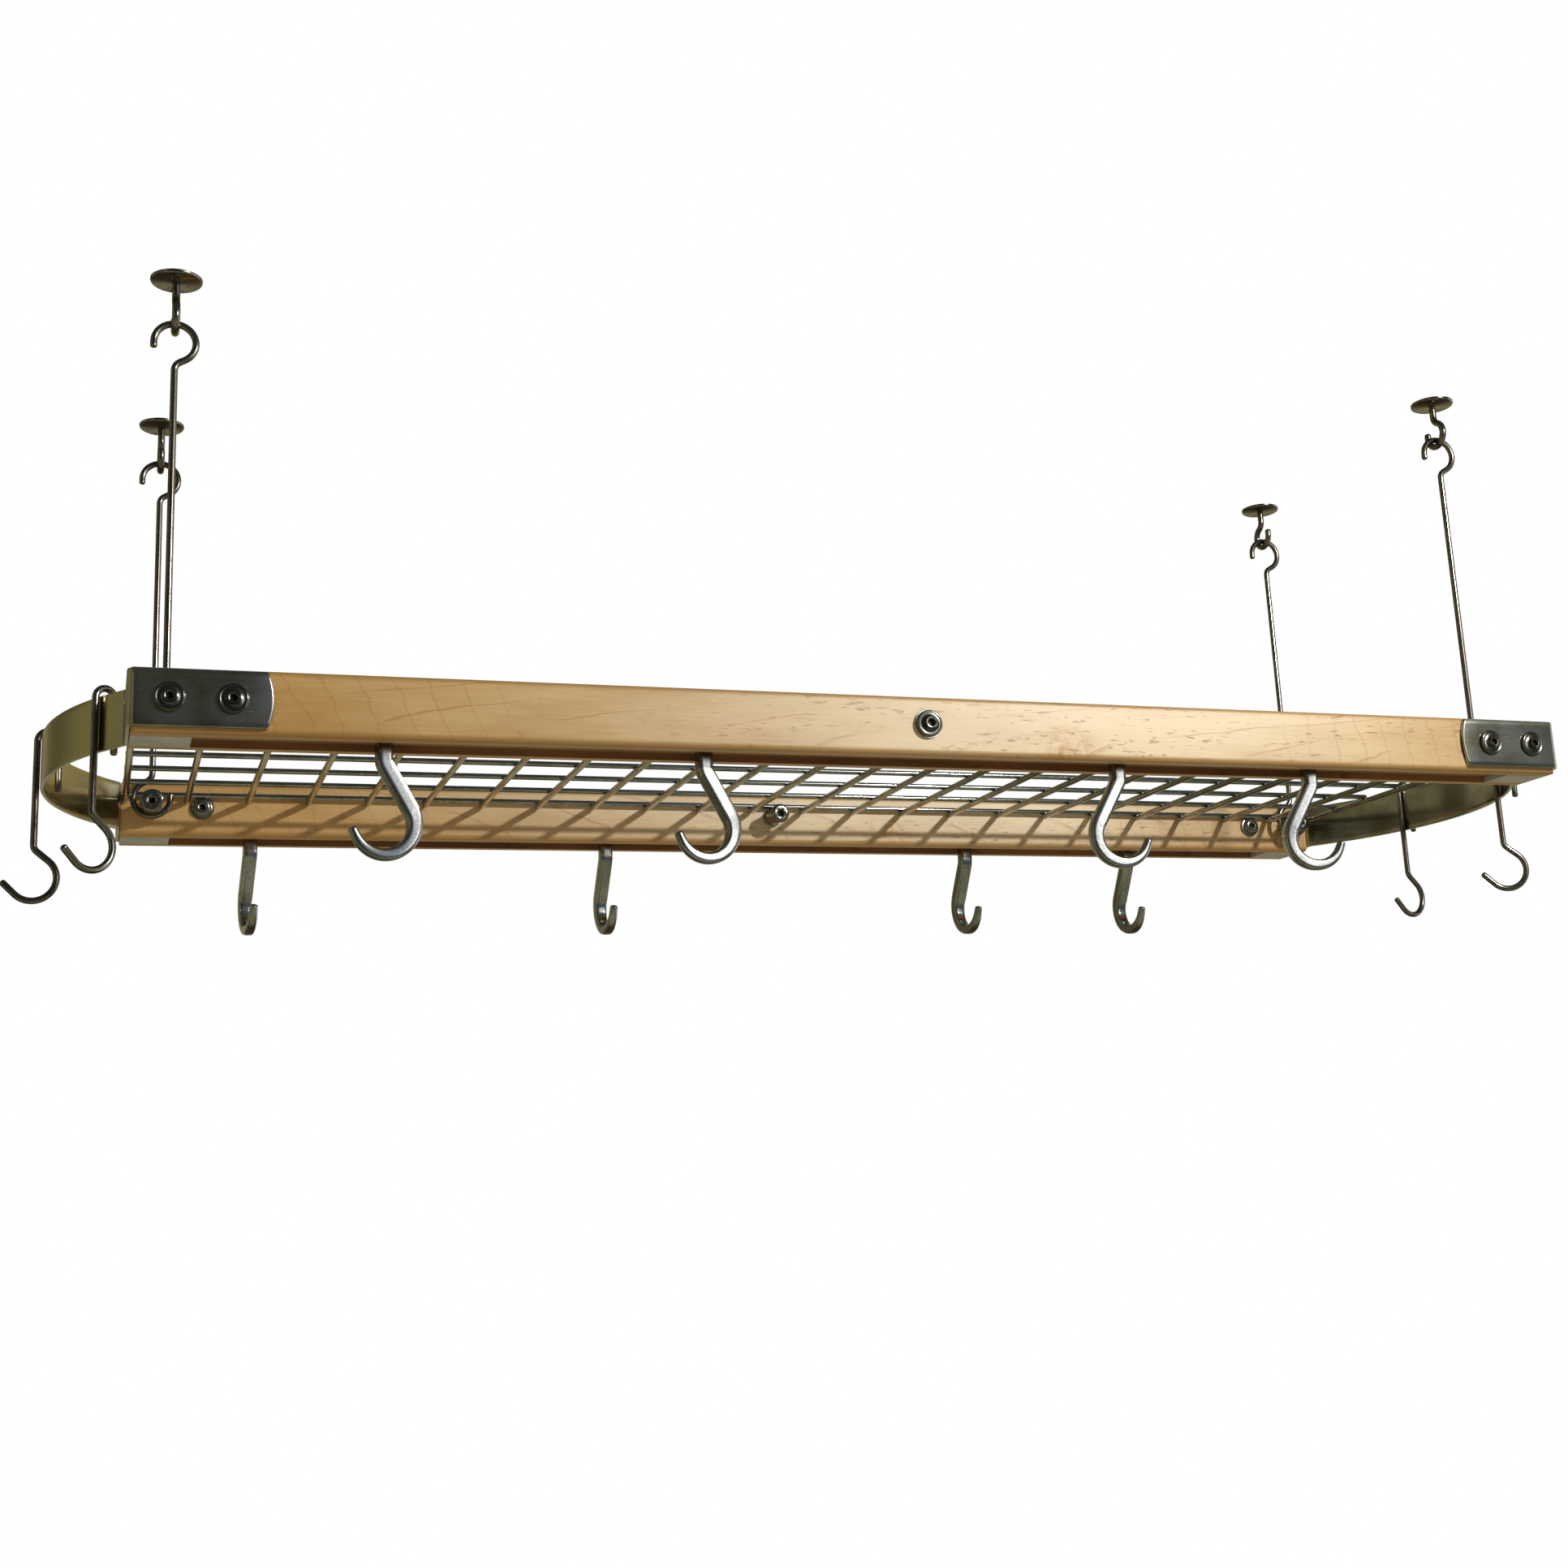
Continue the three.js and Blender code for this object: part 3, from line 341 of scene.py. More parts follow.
def rail_section():
    """The rail's outline (y, z), and how many of its edges lie in the slot."""
    corners = [(-SLOT_MOUTH[0] / 2, 0)]
    for width, low, high in ((SLOT_MOUTH[0], 0, SLOT_MOUTH[1]),
                             (SLOT_NECK[0], SLOT_MOUTH[1], SLOT_NECK[1]),
                             (SLOT_HEAD[0], SLOT_NECK[1], SLOT_HEAD[1])):
        if low:
            corners.append((-width / 2, low))
        corners.append((-width / 2, high))
    corners.extend([(-y, z) for y, z in reversed(corners)])
    in_slot = len(corners) - 1
    side = RAIL_WIDTH / 2 - EDGE_ROUND
    top = RAIL_HEIGHT - EDGE_ROUND
    for y, z, start in ((side, EDGE_ROUND, -90), (side, top, 0),
                        (-side, top, 90), (-side, EDGE_ROUND, 180)):
        for step in range(EDGE_STEPS + 1):
            a = math.radians(start + 90 * step / EDGE_STEPS)
            corners.append((y + EDGE_ROUND * math.cos(a), z + EDGE_ROUND * math.sin(a)))
    return corners, in_slot


outline, in_slot = rail_section()
end_steps = [(RAIL_LENGTH / 2 - END_ROUND * (1 - math.sin(a)), END_ROUND * (1 - math.cos(a)))
             for a in (math.radians(15 * k) for k in range(7))]
for row, side in (("front", -1), ("back", 1)):
    rings = []
    for x, pull in [(-x, pull) for x, pull in reversed(end_steps)] + end_steps:
        limit = RAIL_WIDTH / 2 - pull
        rings.append([(x, side * (RAIL_CENTRE + min(side * y, limit)), UNDERSIDE + z)
                      for y, z in outline])
    points, faces = skin(rings)
    rail = make_piece(f"maple_rail_{row}", points, faces, f"rail_{row}", "rack",
                      [lacquered_maple, shaded_slot_maple])
    for index, face in enumerate(rail.data.polygons[:-2]):
        if index % len(outline) < in_slot:
            face.material_index = 1

# Slot stops and glides. A plated steel block closes each end of a slot, and a dark nylon
# bush with a flange runs on the slot's lips and carries each hook's stem.


def fine_grained(name, pale, dark, rough, scale, relief, metallic=1.0):
    """Metal or nylon with two tones, a roughness range and a faint relief in its grain.

    The scale is one over the size of the grain in metres, and the relief its depth.
    """
    material, tree = new_material(name)
    place = add(tree, "ShaderNodeTexCoord").outputs["Object"]
    grain_place = add(tree, "ShaderNodeMapping",
                      inputs={"Vector": place, "Scale": (scale, scale, scale)})
    grain = add(tree, "ShaderNodeTexNoise", inputs={
        "Vector": grain_place, "Scale": 1.0, "Detail": 4.0, "Roughness": 0.6}).outputs["Fac"]
    # Wider patches, 26 mm across, from handling
    patches = add(tree, "ShaderNodeTexNoise", inputs={
        "Vector": place, "Scale": 38.0, "Detail": 3.0, "Roughness": 0.55}).outputs["Fac"]
    wear = add(tree, "ShaderNodeMath", {"operation": "ADD"}, {0: grain, 1: patches})
    tone = layer(tree, linear(pale), linear(dark), wear, 0.72, 1.28)
    shine = add(tree, "ShaderNodeMapRange", inputs={
        "Value": wear, "From Min": 0.7, "From Max": 1.3, "To Min": rough[0], "To Max": rough[1]})
    bump = add(tree, "ShaderNodeBump",
               inputs={"Height": grain, "Strength": 0.25, "Distance": relief})
    surface = add(tree, "ShaderNodeBsdfPrincipled", inputs={
        "Base Color": tone, "Metallic": metallic, "Roughness": shine, "Normal": bump})
    add(tree, "ShaderNodeOutputMaterial", inputs={"Surface": surface})
    return material


# Zinc plate over mill-rolled steel: dull, greenish grey, with a 2 mm mottle
zinc_plate = fine_grained("zinc_plated_steel", "#DADDD3", "#BFC2B6", (0.5, 0.68),
                          480.0, 0.00006, metallic=0.55)
# Moulded nylon: black, with a soft sheen and the faint grain of its mould, which is drawn
# a millimetre wide so that it shows
nylon = fine_grained("moulded_black_nylon", "#34302B", "#262320", (0.5, 0.62),
                     900.0, 0.00004, metallic=0.0)


def dress(node, material):
    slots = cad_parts[node].data.materials
    slots.clear()
    slots.append(material)


for row in ("front", "back"):
    for end in ("left", "right"):
        dress(f"slot_stop_{row}_{end}", zinc_plate)
    for number in range(1, 5):
        dress(f"glide_{row}_{number}", nylon)

# End bands. Each is one length of stainless strip, brushed along its length and bent
# cold: two flanges bolted to the rails, tight bends over the rail ends and a bow between.
FIT = 0.0003
STRIP = 0.003
BAND_HEIGHT = 0.0405
BAND_LOW = UNDERSIDE + 0.004
BAND_HIGH = BAND_LOW + BAND_HEIGHT
CORNER_BEND = 0.004 + STRIP / 2
REVERSE_BEND = 0.008
BOW_RADIUS = 0.2515
BOW_DEPTH = 0.0577
FLANGE = 0.094
FLANGE_ARCH = 0.004
EDGE_EASE = 0.0016
EASE_DEPTH = 0.8
EASE_STEPS = 4
FLANGE_STEPS = 6
SHEAR_EASE = 0.00035
BAND_X = RAIL_LENGTH / 2 + FIT + STRIP / 2
BOW_CENTRE = BAND_X + BOW_DEPTH - BOW_RADIUS


def bent(start, heading, steps):
    """Stations (x, y, heading, length so far) of a strip or wire that is bent in a plane.

    A step is its kind, its length or its turn in degrees, its radius and its parts.
    """
    x, y = start
    angle = math.radians(heading)
    run = 0.0
    stations = [(x, y, angle, run)]
    for kind, size, radius, parts in steps:
        if kind == "straight":
            for _ in range(parts):
                x += size / parts * math.cos(angle)
                y += size / parts * math.sin(angle)
                run += size / parts
                stations.append((x, y, angle, run))
        else:
            side = math.copysign(1, size)
            part = math.radians(size) / parts
            cx = x - side * radius * math.sin(angle)
            cy = y + side * radius * math.cos(angle)
            for _ in range(parts):
                angle += part
                x = cx + side * radius * math.sin(angle)
                y = cy - side * radius * math.cos(angle)
                run += abs(part) * radius
                stations.append((x, y, angle, run))
    return stations


def brushed_strip():
    material, tree = new_material("brushed_stainless_strip")
    along = add(tree, "ShaderNodeUVMap").outputs["UV"]
    place = add(tree, "ShaderNodeTexCoord").outputs["Object"]
    # Brush marks run along the strip: 0.6 mm apart, coarser than the real ones
    marks_place = add(tree, "ShaderNodeMapping",
                      inputs={"Vector": along, "Scale": (14.0, 1500.0, 1.0)})
    marks = add(tree, "ShaderNodeTexNoise", inputs={
        "Vector": marks_place, "Scale": 1.0, "Detail": 5.0, "Roughness": 0.7}).outputs["Fac"]
    tone = add(tree, "ShaderNodeMix", {"data_type": "RGBA"},
               {"Factor": marks, "A": linear("#C4C4BC"), "B": linear("#98988F")})
    # Handling and heat leave cloudy patches, 20 to 60 mm across
    stain = add(tree, "ShaderNodeTexNoise", inputs={
        "Vector": place, "Scale": 22.0, "Detail": 6.0, "Roughness": 0.62}).outputs["Fac"]
    tone = layer(tree, tone, linear("#8D8A74"), stain, 0.40, 0.68)
    # The left-hand bow is tinted straw: a painted reflection of the olive room on its left
    across = add(tree, "ShaderNodeSeparateXYZ", inputs={"Vector": place}).outputs["X"]
    tone = layer(tree, tone, linear("#BEB484"), across, -0.575, -0.605)
    # Fine scratches cross the brushing, half a millimetre apart and 11 mm long
    scratch_place = add(tree, "ShaderNodeMapping", inputs={
        "Vector": along, "Rotation": (0.0, 0.0, math.radians(24)), "Scale": (90.0, 2200.0, 1.0)})
    scratch = add(tree, "ShaderNodeTexNoise", inputs={
        "Vector": scratch_place, "Scale": 1.0, "Detail": 1.0}).outputs["Fac"]
    scratched = add(tree, "ShaderNodeMapRange", {"interpolation_type": "SMOOTHSTEP"},
                    {"Value": scratch, "From Min": 0.72, "From Max": 0.78})
    shine = add(tree, "ShaderNodeMapRange",
                inputs={"Value": marks, "To Min": 0.14, "To Max": 0.27})
    shine = add(tree, "ShaderNodeMath", {"operation": "MULTIPLY_ADD"},
                {0: scratched, 1: 0.16, 2: shine})
    bump = add(tree, "ShaderNodeBump",
               inputs={"Height": marks, "Strength": 0.22, "Distance": 0.00006})
    steel = add(tree, "ShaderNodeBsdfPrincipled", inputs={
        "Base Color": tone, "Metallic": 1.0, "Roughness": shine, "Anisotropic": 0.4,
        "Normal": bump})
    add(tree, "ShaderNodeOutputMaterial", inputs={"Surface": steel})
    return material


strip_steel = brushed_strip()
# The sheared edges of the strip are bare and polished by handling; the marks of the shear
# are drawn 1.7 mm wide so that they show
strip_edge = fine_grained("polished_strip_edge", "#C9CCC4", "#A9ACA2", (0.22, 0.34),
                          600.0, 0.00003)


def band_stations():
    outer_y = RACK_DEPTH / 2 + FIT + STRIP / 2
    reach = BOW_RADIUS + REVERSE_BEND
    turn_angle = math.acos((BAND_X + REVERSE_BEND - BOW_CENTRE) / reach)
    turn = math.degrees(turn_angle)
    flange = FLANGE + FIT + STRIP / 2 - CORNER_BEND
    end_leg = outer_y - CORNER_BEND - reach * math.sin(turn_angle)
    return bent((BAND_X - CORNER_BEND - flange, -outer_y), 0, [
        ("straight", EDGE_EASE, 0, EASE_STEPS),
        ("straight", flange - EDGE_EASE, 0, FLANGE_STEPS),
        ("bend", 90, CORNER_BEND, 8), ("straight", end_leg, 0, 3),
        ("bend", -turn, REVERSE_BEND, 10), ("bend", 2 * turn, BOW_RADIUS, 96),
        ("bend", -turn, REVERSE_BEND, 10), ("straight", end_leg, 0, 3),
        ("bend", 90, CORNER_BEND, 8), ("straight", flange - EDGE_EASE, 0, FLANGE_STEPS),
        ("straight", EDGE_EASE, 0, EASE_STEPS)])


stations = band_stations()
# Heights over the strip, from its lower edge at -1 to its upper one at 1
heights = [-1.0, *[-0.97 + 1.94 * k / 10 for k in range(11)], 1.0]
for end, side in (("left", -1), ("right", 1)):
    rings = []
    for number, (x, y, angle, _) in enumerate(stations):
        ring = []
        far = min(number, len(stations) - 1 - number)
        # The free ends are eased on the outer face, over the first stations
        eased = max(0.0, 1 - far / EASE_STEPS) * EDGE_EASE
        worn = EASE_DEPTH * (EDGE_EASE - math.sqrt(EDGE_EASE ** 2 - eased ** 2))
        # They are cut to a shallow arch, which has died away at the corner bend
        arch = FLANGE_ARCH * min(1.0, max(0.0, 1 - (far - EASE_STEPS) / FLANGE_STEPS))
        for face in (1, -1):
            for h in heights if face > 0 else reversed(heights):
                rim = SHEAR_EASE if abs(h) == 1.0 else 0.0
                off = face * (STRIP / 2 - rim) - (worn if face > 0 else 0.0)
                px = x + off * math.sin(angle) + arch * h * h
                py = y - off * math.cos(angle)
                ring.append((side * px, side * py, BAND_LOW + BAND_HEIGHT * (1 + h) / 2))
        rings.append(ring)
    points, faces = skin(rings)
    band = make_piece(f"strip_band_{end}", points, faces, f"end_band_{end}", "rack",
                      [strip_steel, strip_edge], sharp=30)
    count = len(rings[0])
    strip_map = band.data.uv_layers.new(name="along_the_strip")
    for face in band.data.polygons:
        levels = [v % count for v in face.vertices]
        inside = [min(level, count - 1 - level) for level in levels]
        on_rim = max(inside) <= 1 or min(inside) >= len(heights) - 2
        at_end = len(face.vertices) > 4
        if on_rim or at_end:
            face.material_index = 1
        for loop in face.loop_indices:
            vertex = band.data.loops[loop].vertex_index
            z = band.data.vertices[vertex].co.z
            strip_map.data[loop].uv = (stations[vertex // count][3], z - BAND_LOW)

# Bolts, washers, spools and cap nuts. They are turned steel, polished, each with a hex
# socket. Bolts go right through the rail into a spool or a cap nut on its inner face.
BOLT_Z = UNDERSIDE + 0.02425
BOLT_X = [-0.5595, -0.5175, 0.0, 0.5175, 0.5595]
SHANK = 0.0032
BARREL = 0.0075
WASHER = 0.0015
BORE = 0.0035
SPOOL_BORE = 0.014
NUT_BORE = 0.003
HEX_HALF = 0.0025
HEX_DEEP = 0.0026
TURNS = 48

# Polished steel: bright, with faint turning marks, drawn 1.4 mm wide so that they show
turned_steel = fine_grained("polished_turned_steel", "#A9A9A2", "#7F7F77", (0.12, 0.26),
                            700.0, 0.00003)
# The bolts' heads are the same steel in a darker copy, which is painted shade
shaded_bolt_steel = fine_grained("bolt_steel_painted_darker", "#7C7B73", "#57564F", (0.14, 0.28),
                          700.0, 0.00003)
# The sockets are painted nearly black inside, as the shade in their recesses
shaded_socket = fine_grained("socket_painted_shade", "#24251F", "#15150F", (0.4, 0.6),
                           800.0, 0.00003)


def turned_piece(name, profile, node, x, y, outward, metal=turned_steel):
    """Turns a profile of (radius, height, hex share), from one end of the axis to the other."""
    rings = []
    for radius, height, hex_share in profile:
        ring = []
        for k in range(TURNS):
            a = 2 * math.pi * k / TURNS
            corner = math.cos(((a + math.pi / 6) % (math.pi / 3)) - math.pi / 6)
            r = radius * ((1 - hex_share) + hex_share / corner)
            u, v = r * math.cos(a), r * math.sin(a)
            ring.append((x + u, y + outward * height, BOLT_Z - outward * v))
        rings.append(ring)
    points, faces = skin(rings)
    piece = make_piece(name, points, faces, node, "rack", [metal, shaded_socket])
    # The last two rows of faces and the last cap are the socket's walls and floor, in painted
    # shade
    socket_row = len(profile) - 3
    for index, face in enumerate(piece.data.polygons):
        if socket_row * TURNS <= index < (len(profile) - 1) * TURNS:
            face.material_index = 1
    piece.data.polygons[-1].material_index = 1
    return piece


def socket(top):
    """The end of a profile: a chamfered hex socket with a dimple in its floor."""
    return [(HEX_HALF + 0.0007, top, 0.6), (HEX_HALF, top - 0.0005, 1.0),
            (HEX_HALF, top - HEX_DEEP, 1.0), (HEX_HALF * 0.35, top - HEX_DEEP - 0.0004, 0.5)]


def bolt_profile(seat, bore):
    """A bolt that stands on its seat and reaches through the rail into a bore."""
    shank = seat + RAIL_WIDTH + bore - FIT
    # Flat head, 21 mm across: a bevelled rim, a dished face and a boss round the socket
    return [(0.0026, -shank, 0), (SHANK, -shank + 0.0006, 0), (SHANK, 0, 0), (0.0102, 0, 0),
            (0.0105, 0.0003, 0), (0.0105, 0.0016, 0), (0.0103, 0.0020, 0), (0.0098, 0.0025, 0),
            (0.0094, 0.0027, 0), (0.0089, 0.0027, 0), (0.0085, 0.0024, 0), (0.0080, 0.0024, 0),
            (0.0062, 0.0027, 0), (0.0050, 0.0033, 0), (0.0045, 0.0044, 0), (0.0045, 0.0051, 0),
            (0.0042, 0.0055, 0), *socket(0.0055)]


def spool_profile(length, head):
    """A flange on the rail, a barrel and a rounded head, by its length and head radius."""
    return [(BORE, SPOOL_BORE, 0), (BORE, 0, 0), (0.0081, 0, 0), (0.0085, 0.0004, 0),
            (0.0085, 0.0017, 0), (0.0082, 0.002, 0), (0.0079, 0.0021, 0), (BARREL, 0.0025, 0),
            (BARREL, length - 0.0044, 0), (head - 0.0006, length - 0.004, 0),
            (head, length - 0.0034, 0), (head, length - 0.0020, 0),
            (head - 0.0003, length - 0.0012, 0), (head - 0.0009, length - 0.0005, 0),
            (head - 0.0019, length, 0), *socket(length)]


def nut_profile():
    """A domed nut on a flange of 20 mm."""
    dome = [(0.0043 + 0.0032 * math.cos(a), 0.0036 + 0.0029 * math.sin(a), 0)
            for a in (math.radians(15 * k) for k in range(7))]
    return [(BORE, NUT_BORE, 0), (BORE, 0, 0), (0.0098, 0, 0), (0.0100, 0.0003, 0),
            (0.0100, 0.0013, 0), (0.0096, 0.0018, 0), (0.0080, 0.0018, 0), (0.0075, 0.0021, 0),
            *dome, *socket(0.0065)]


washer_profile = [(SHANK + FIT, 0.00005, 0), (0.0113, 0.0, 0), (0.0115, 0.0003, 0),
                  (0.0115, 0.0011, 0), (0.0112, WASHER, 0), (SHANK + FIT, WASHER, 0)]

for row, side in (("front", -1), ("back", 1)):
    outer = side * RACK_DEPTH / 2
    inner = side * (RACK_DEPTH / 2 - RAIL_WIDTH - FIT)
    for number, x in enumerate(BOLT_X, start=1):
        middle, second = number == 3, number in (2, 4)
        seat = 2 * FIT + (WASHER if middle else STRIP)
        end = "left" if x < 0 else "right"
        bolt = bolt_profile(seat, NUT_BORE if second else SPOOL_BORE)
        turned_piece(f"round_bolt_{row}_{number}", bolt, f"bolt_{row}_{number}", x,
                     outer + side * seat, side, shaded_bolt_steel)
        if middle:
            washer = turned_piece(f"flat_washer_{row}", washer_profile, f"washer_{row}", x,
                                  outer + side * FIT, side)
            for face in washer.data.polygons:
                face.material_index = 0
            turned_piece(f"short_spool_{row}", spool_profile(0.028, 0.00875),
                         f"spool_{row}_middle", x, inner, -side)
        elif second:
            turned_piece(f"domed_nut_{row}_{end}", nut_profile(), f"cap_nut_{row}_{end}", x,
                         inner, -side)
        else:
            turned_piece(f"end_spool_{row}_{end}", spool_profile(0.032, 0.010),
                         f"spool_{row}_{end}", x, inner, -side)

# Wire shelf. Bright plated steel wires, welded where they cross: long wires on top and
# thicker cross wires under them. The long edge wires lie on the spools.
LONG_WIRE = 0.0023
LONG_WIRES = 7
CROSS_WIRE = 0.0028
CROSS_WIRES = 24
SHELF_LENGTH = 1.162
SHELF_SPREAD = 0.319
CROSS_LENGTH = 0.325
SHELF_PITCH = 0.0508
# In the CAD model the wires are six-sided and touch at this share of their radius
TOUCH = 0.9526
# They are pressed into each other where they are welded
WELD_DEPTH = 0.0004
LONG_Z = BOLT_Z + BARREL + FIT + LONG_WIRE * TOUCH
CROSS_Z = LONG_Z - (LONG_WIRE + CROSS_WIRE) * TOUCH + WELD_DEPTH

# Bright nickel-chrome plate on drawn wire: mirror-like, with slight waves 4 mm long
bright_plate = fine_grained("bright_plated_wire", "#C4C5C1", "#9A9B95", (0.08, 0.18),
                            260.0, 0.00004)


def round_bar(radius, length, sides=14):
    """Rings of a bar along x with slightly rounded ends."""
    rings = []
    for x, share in ((-length / 2, 0.6), (-length / 2 + radius * 0.25, 0.92),
                     (-length / 2 + radius * 0.6, 1.0), (length / 2 - radius * 0.6, 1.0),
                     (length / 2 - radius * 0.25, 0.92), (length / 2, 0.6)):
        rings.append([(x, radius * share * math.cos(2 * math.pi * k / sides),
                       radius * share * math.sin(2 * math.pi * k / sides)) for k in range(sides)])
    return skin(rings)


def joined(meshes):
    """The points and faces of several meshes, as one."""
    points, faces = [], []
    for more_points, more_faces in meshes:
        start = len(points)
        points.extend(more_points)
        faces.extend(tuple(i + start for i in face) for face in more_faces)
    return points, faces


wires = []
points, faces = round_bar(LONG_WIRE, SHELF_LENGTH + 2 * CROSS_WIRE)
for k in range(LONG_WIRES):
    wire_y = SHELF_SPREAD * (k / (LONG_WIRES - 1) - 0.5)
    wires.append(([(x, y + wire_y, z + LONG_Z) for x, y, z in points], faces))
points, faces = round_bar(CROSS_WIRE, CROSS_LENGTH)
for k in range(CROSS_WIRES):
    # The last wire is drawn in to the shelf's end
    wire_x = min(-SHELF_LENGTH / 2 + SHELF_PITCH * k, SHELF_LENGTH / 2)
    wires.append(([(wire_x - y, x, z + CROSS_Z) for x, y, z in points], faces))
points, faces = joined(wires)
make_piece("welded_wire_shelf", points, faces, "shelf_grid", "rack",
           [bright_plate])

# Ceiling hooks and hanger rods. Round steel rod, bent cold at both ends into open hooks:
# the lower hook holds a spool's barrel and the upper one hangs in the ceiling's screw hook.
ROD = 0.0026
ROD_PIVOTS = 0.300
ROD_BOWL = 0.0151
ROD_KINK = 0.0076
KINK_ANGLE = 60
ROD_TIP = 0.005
ROD_Y = 0.150
CEILING_WIRE = 0.003
CEILING_BOWL = 0.011
CEILING_DROP = 0.042
CEILING_TIP = 0.005
PLATE_ROUND = 0.019
PLATE_THICK = 0.003
# A wire's rounded end: how far on each ring lies and how wide it is, in wire radii
DOME = ((0.30, 0.93), (0.52, 0.75), (0.66, 0.45))


def kink_and_bowl(kink, kink_radius, bowl, bowl_end):
    """Steps of a hook whose bowl hangs in line with its shank, and the bowl's drop."""
    a = math.radians(kink)
    slope = (bowl * math.cos(a) - kink_radius * (1 - math.cos(a))) / math.sin(a)
    drop = kink_radius * math.sin(a) + slope * math.cos(a) + bowl * math.sin(a)
    steps = [("bend", -kink, kink_radius, 10), ("straight", slope, 0, 6),
             ("bend", kink + bowl_end, bowl, 44)]
    return steps, drop


def wire_rings(stations, radius, sides=20, section=None):
    """Rings round a wire in its own x-z plane, with rounded ends."""

    def ring(x, z, angle, share, number):
        made = []
        for k in range(sides):
            a = 2 * math.pi * k / sides
            across, side, r = math.cos(a), math.sin(a), radius
            if section:
                across, side, r = section(number, across, side)
            made.append((x - r * share * across * math.sin(angle), r * share * side,
                         z + r * share * across * math.cos(angle)))
        return made

    def dome(number, outward):
        x, z, angle, _ = stations[number]
        return [ring(x + outward * ahead * radius * math.cos(angle),
                     z + outward * ahead * radius * math.sin(angle), angle, share, number)
                for ahead, share in DOME]

    along = [ring(x, z, angle, 1.0, number)
             for number, (x, z, angle, _) in enumerate(stations)]
    return [*reversed(dome(0, -1)), *along, *dome(len(stations) - 1, 1)]


def trimmed(stations, radius):
    """Ends drawn back so that the rounded ends stay within the wire's own length."""
    made = list(stations)
    back = DOME[-1][0] * radius
    for index, inward in ((0, 1), (-1, -1)):
        x, z, angle, run = made[index]
        made[index] = (x + inward * back * math.cos(angle), z + inward * back * math.sin(angle),
                       angle, run)
    return made


def turn_and_place(rings, at, turn):
    c, s = math.cos(math.radians(turn)), math.sin(math.radians(turn))
    return [[(at[0] + c * x - s * y, at[1] + s * x + c * y, at[2] + z) for x, y, z in ring]
            for ring in rings]


def round_rings(x, y, z, profile, sides):
    """Rings round an upright axis through a place, from a profile of (radius, height)."""
    angles = [2 * math.pi * k / sides for k in range(sides)]
    return [[(x + r * math.cos(a), y + r * math.sin(a), z + height) for a in angles]
            for r, height in profile]


# Drawn stainless rod: bright and grey, with fine scratches, drawn 2.4 mm long so that
# they show
drawn_rod = fine_grained("drawn_stainless_rod", "#989389", "#6C6760", (0.14, 0.26),
                         420.0, 0.00004)

hook_steps, hook_drop = kink_and_bowl(KINK_ANGLE, ROD_KINK, ROD_BOWL, 180)
# The lower bowl holds the spool's barrel from below, and the upper one rests in the
# screw hook, one pivot length above
inner_bowl = ROD_BOWL - ROD
low_centre = inner_bowl - BARREL - FIT
high_centre = ROD_PIVOTS - inner_bowl + CEILING_WIRE + FIT
rod_route = bent((-ROD_BOWL, high_centre - ROD_TIP), 90, [
    ("straight", ROD_TIP, 0, 2), ("bend", -180 - KINK_ANGLE, ROD_BOWL, 44), hook_steps[1],
    ("bend", KINK_ANGLE, ROD_KINK, 10),
    ("straight", high_centre - low_centre - 2 * hook_drop, 0, 8),
    *hook_steps, ("straight", ROD_TIP, 0, 2)])

screw_steps, screw_drop = kink_and_bowl(KINK_ANGLE, ROD_KINK, CEILING_BOWL, 180)
kink_z = -CEILING_DROP + CEILING_BOWL + screw_drop
screw_route = bent((0, -PLATE_THICK / 2), -90, [
    ("straight", -PLATE_THICK / 2 - kink_z, 0, 4), *screw_steps,
    ("straight", CEILING_TIP, 0, 2)])

# The ceiling's plate, from a low boss round the wire out to its rounded rim
plate_profile = [(0.0031, -PLATE_THICK - 0.0004), (0.0045, -PLATE_THICK),
                 (PLATE_ROUND - 0.0016, -PLATE_THICK),
                 (PLATE_ROUND - 0.0006, -PLATE_THICK + 0.0005),
                 (PLATE_ROUND, -PLATE_THICK / 2), (PLATE_ROUND, 0.0)]

for row, side in (("front", -1), ("back", 1)):
    for end, x in (("left", BOLT_X[0]), ("right", BOLT_X[4])):
        rings = wire_rings(trimmed(rod_route, ROD), ROD)
        points, faces = skin(turn_and_place(rings, (x, side * ROD_Y, BOLT_Z), 0))
        make_piece(f"bent_rod_{row}_{end}", points, faces, f"hanger_rod_{row}_{end}",
                   f"rod_{row}_{end}", [drawn_rod])
        rings = wire_rings(trimmed(screw_route, CEILING_WIRE), CEILING_WIRE)
        plate = round_rings(x, side * ROD_Y, 0.0, plate_profile, TURNS)
        points, faces = joined([skin(turn_and_place(rings, (x, side * ROD_Y, 0), -90 * side)),
                                skin(plate)])
        make_piece(f"screw_hook_{row}_{end}", points, faces, f"ceiling_hook_{row}_{end}",
                   "ceiling_hooks", [drawn_rod])

# Track hooks. Stout steel bar, square where it leaves the slot and drawn down round to
# the blunt tip; cast or forged, then tumbled, so that it has a soft satin shine.
STOCK = 0.00575
NECK = 0.008
TIP = 0.0035
TRACK_KINK = 0.012
TRACK_BOWL = 0.0221
TRACK_LIP = 0.005
BLUNT_END = 0.002
BLUNT_FACE = 0.57
NECK_TOP = SLOT_MOUTH[1] - FIT
STEM_SIDES = 24
# Each hook's place along its rail and the way it is turned, in degrees
FRONT_HOOKS = ((-0.411, 188), (-0.173, 188), (0.175, -5), (0.355, -11))
BACK_HOOKS = ((-0.475, -84), (-0.155, -87), (0.209, -87), (0.388, -88))

# Tumbled stainless: satin, in two tones, with a 1.5 mm pebble
tumbled_steel = fine_grained("tumbled_stainless", "#BDBEBC", "#8E8F8C", (0.14, 0.26),
                             650.0, 0.00005)

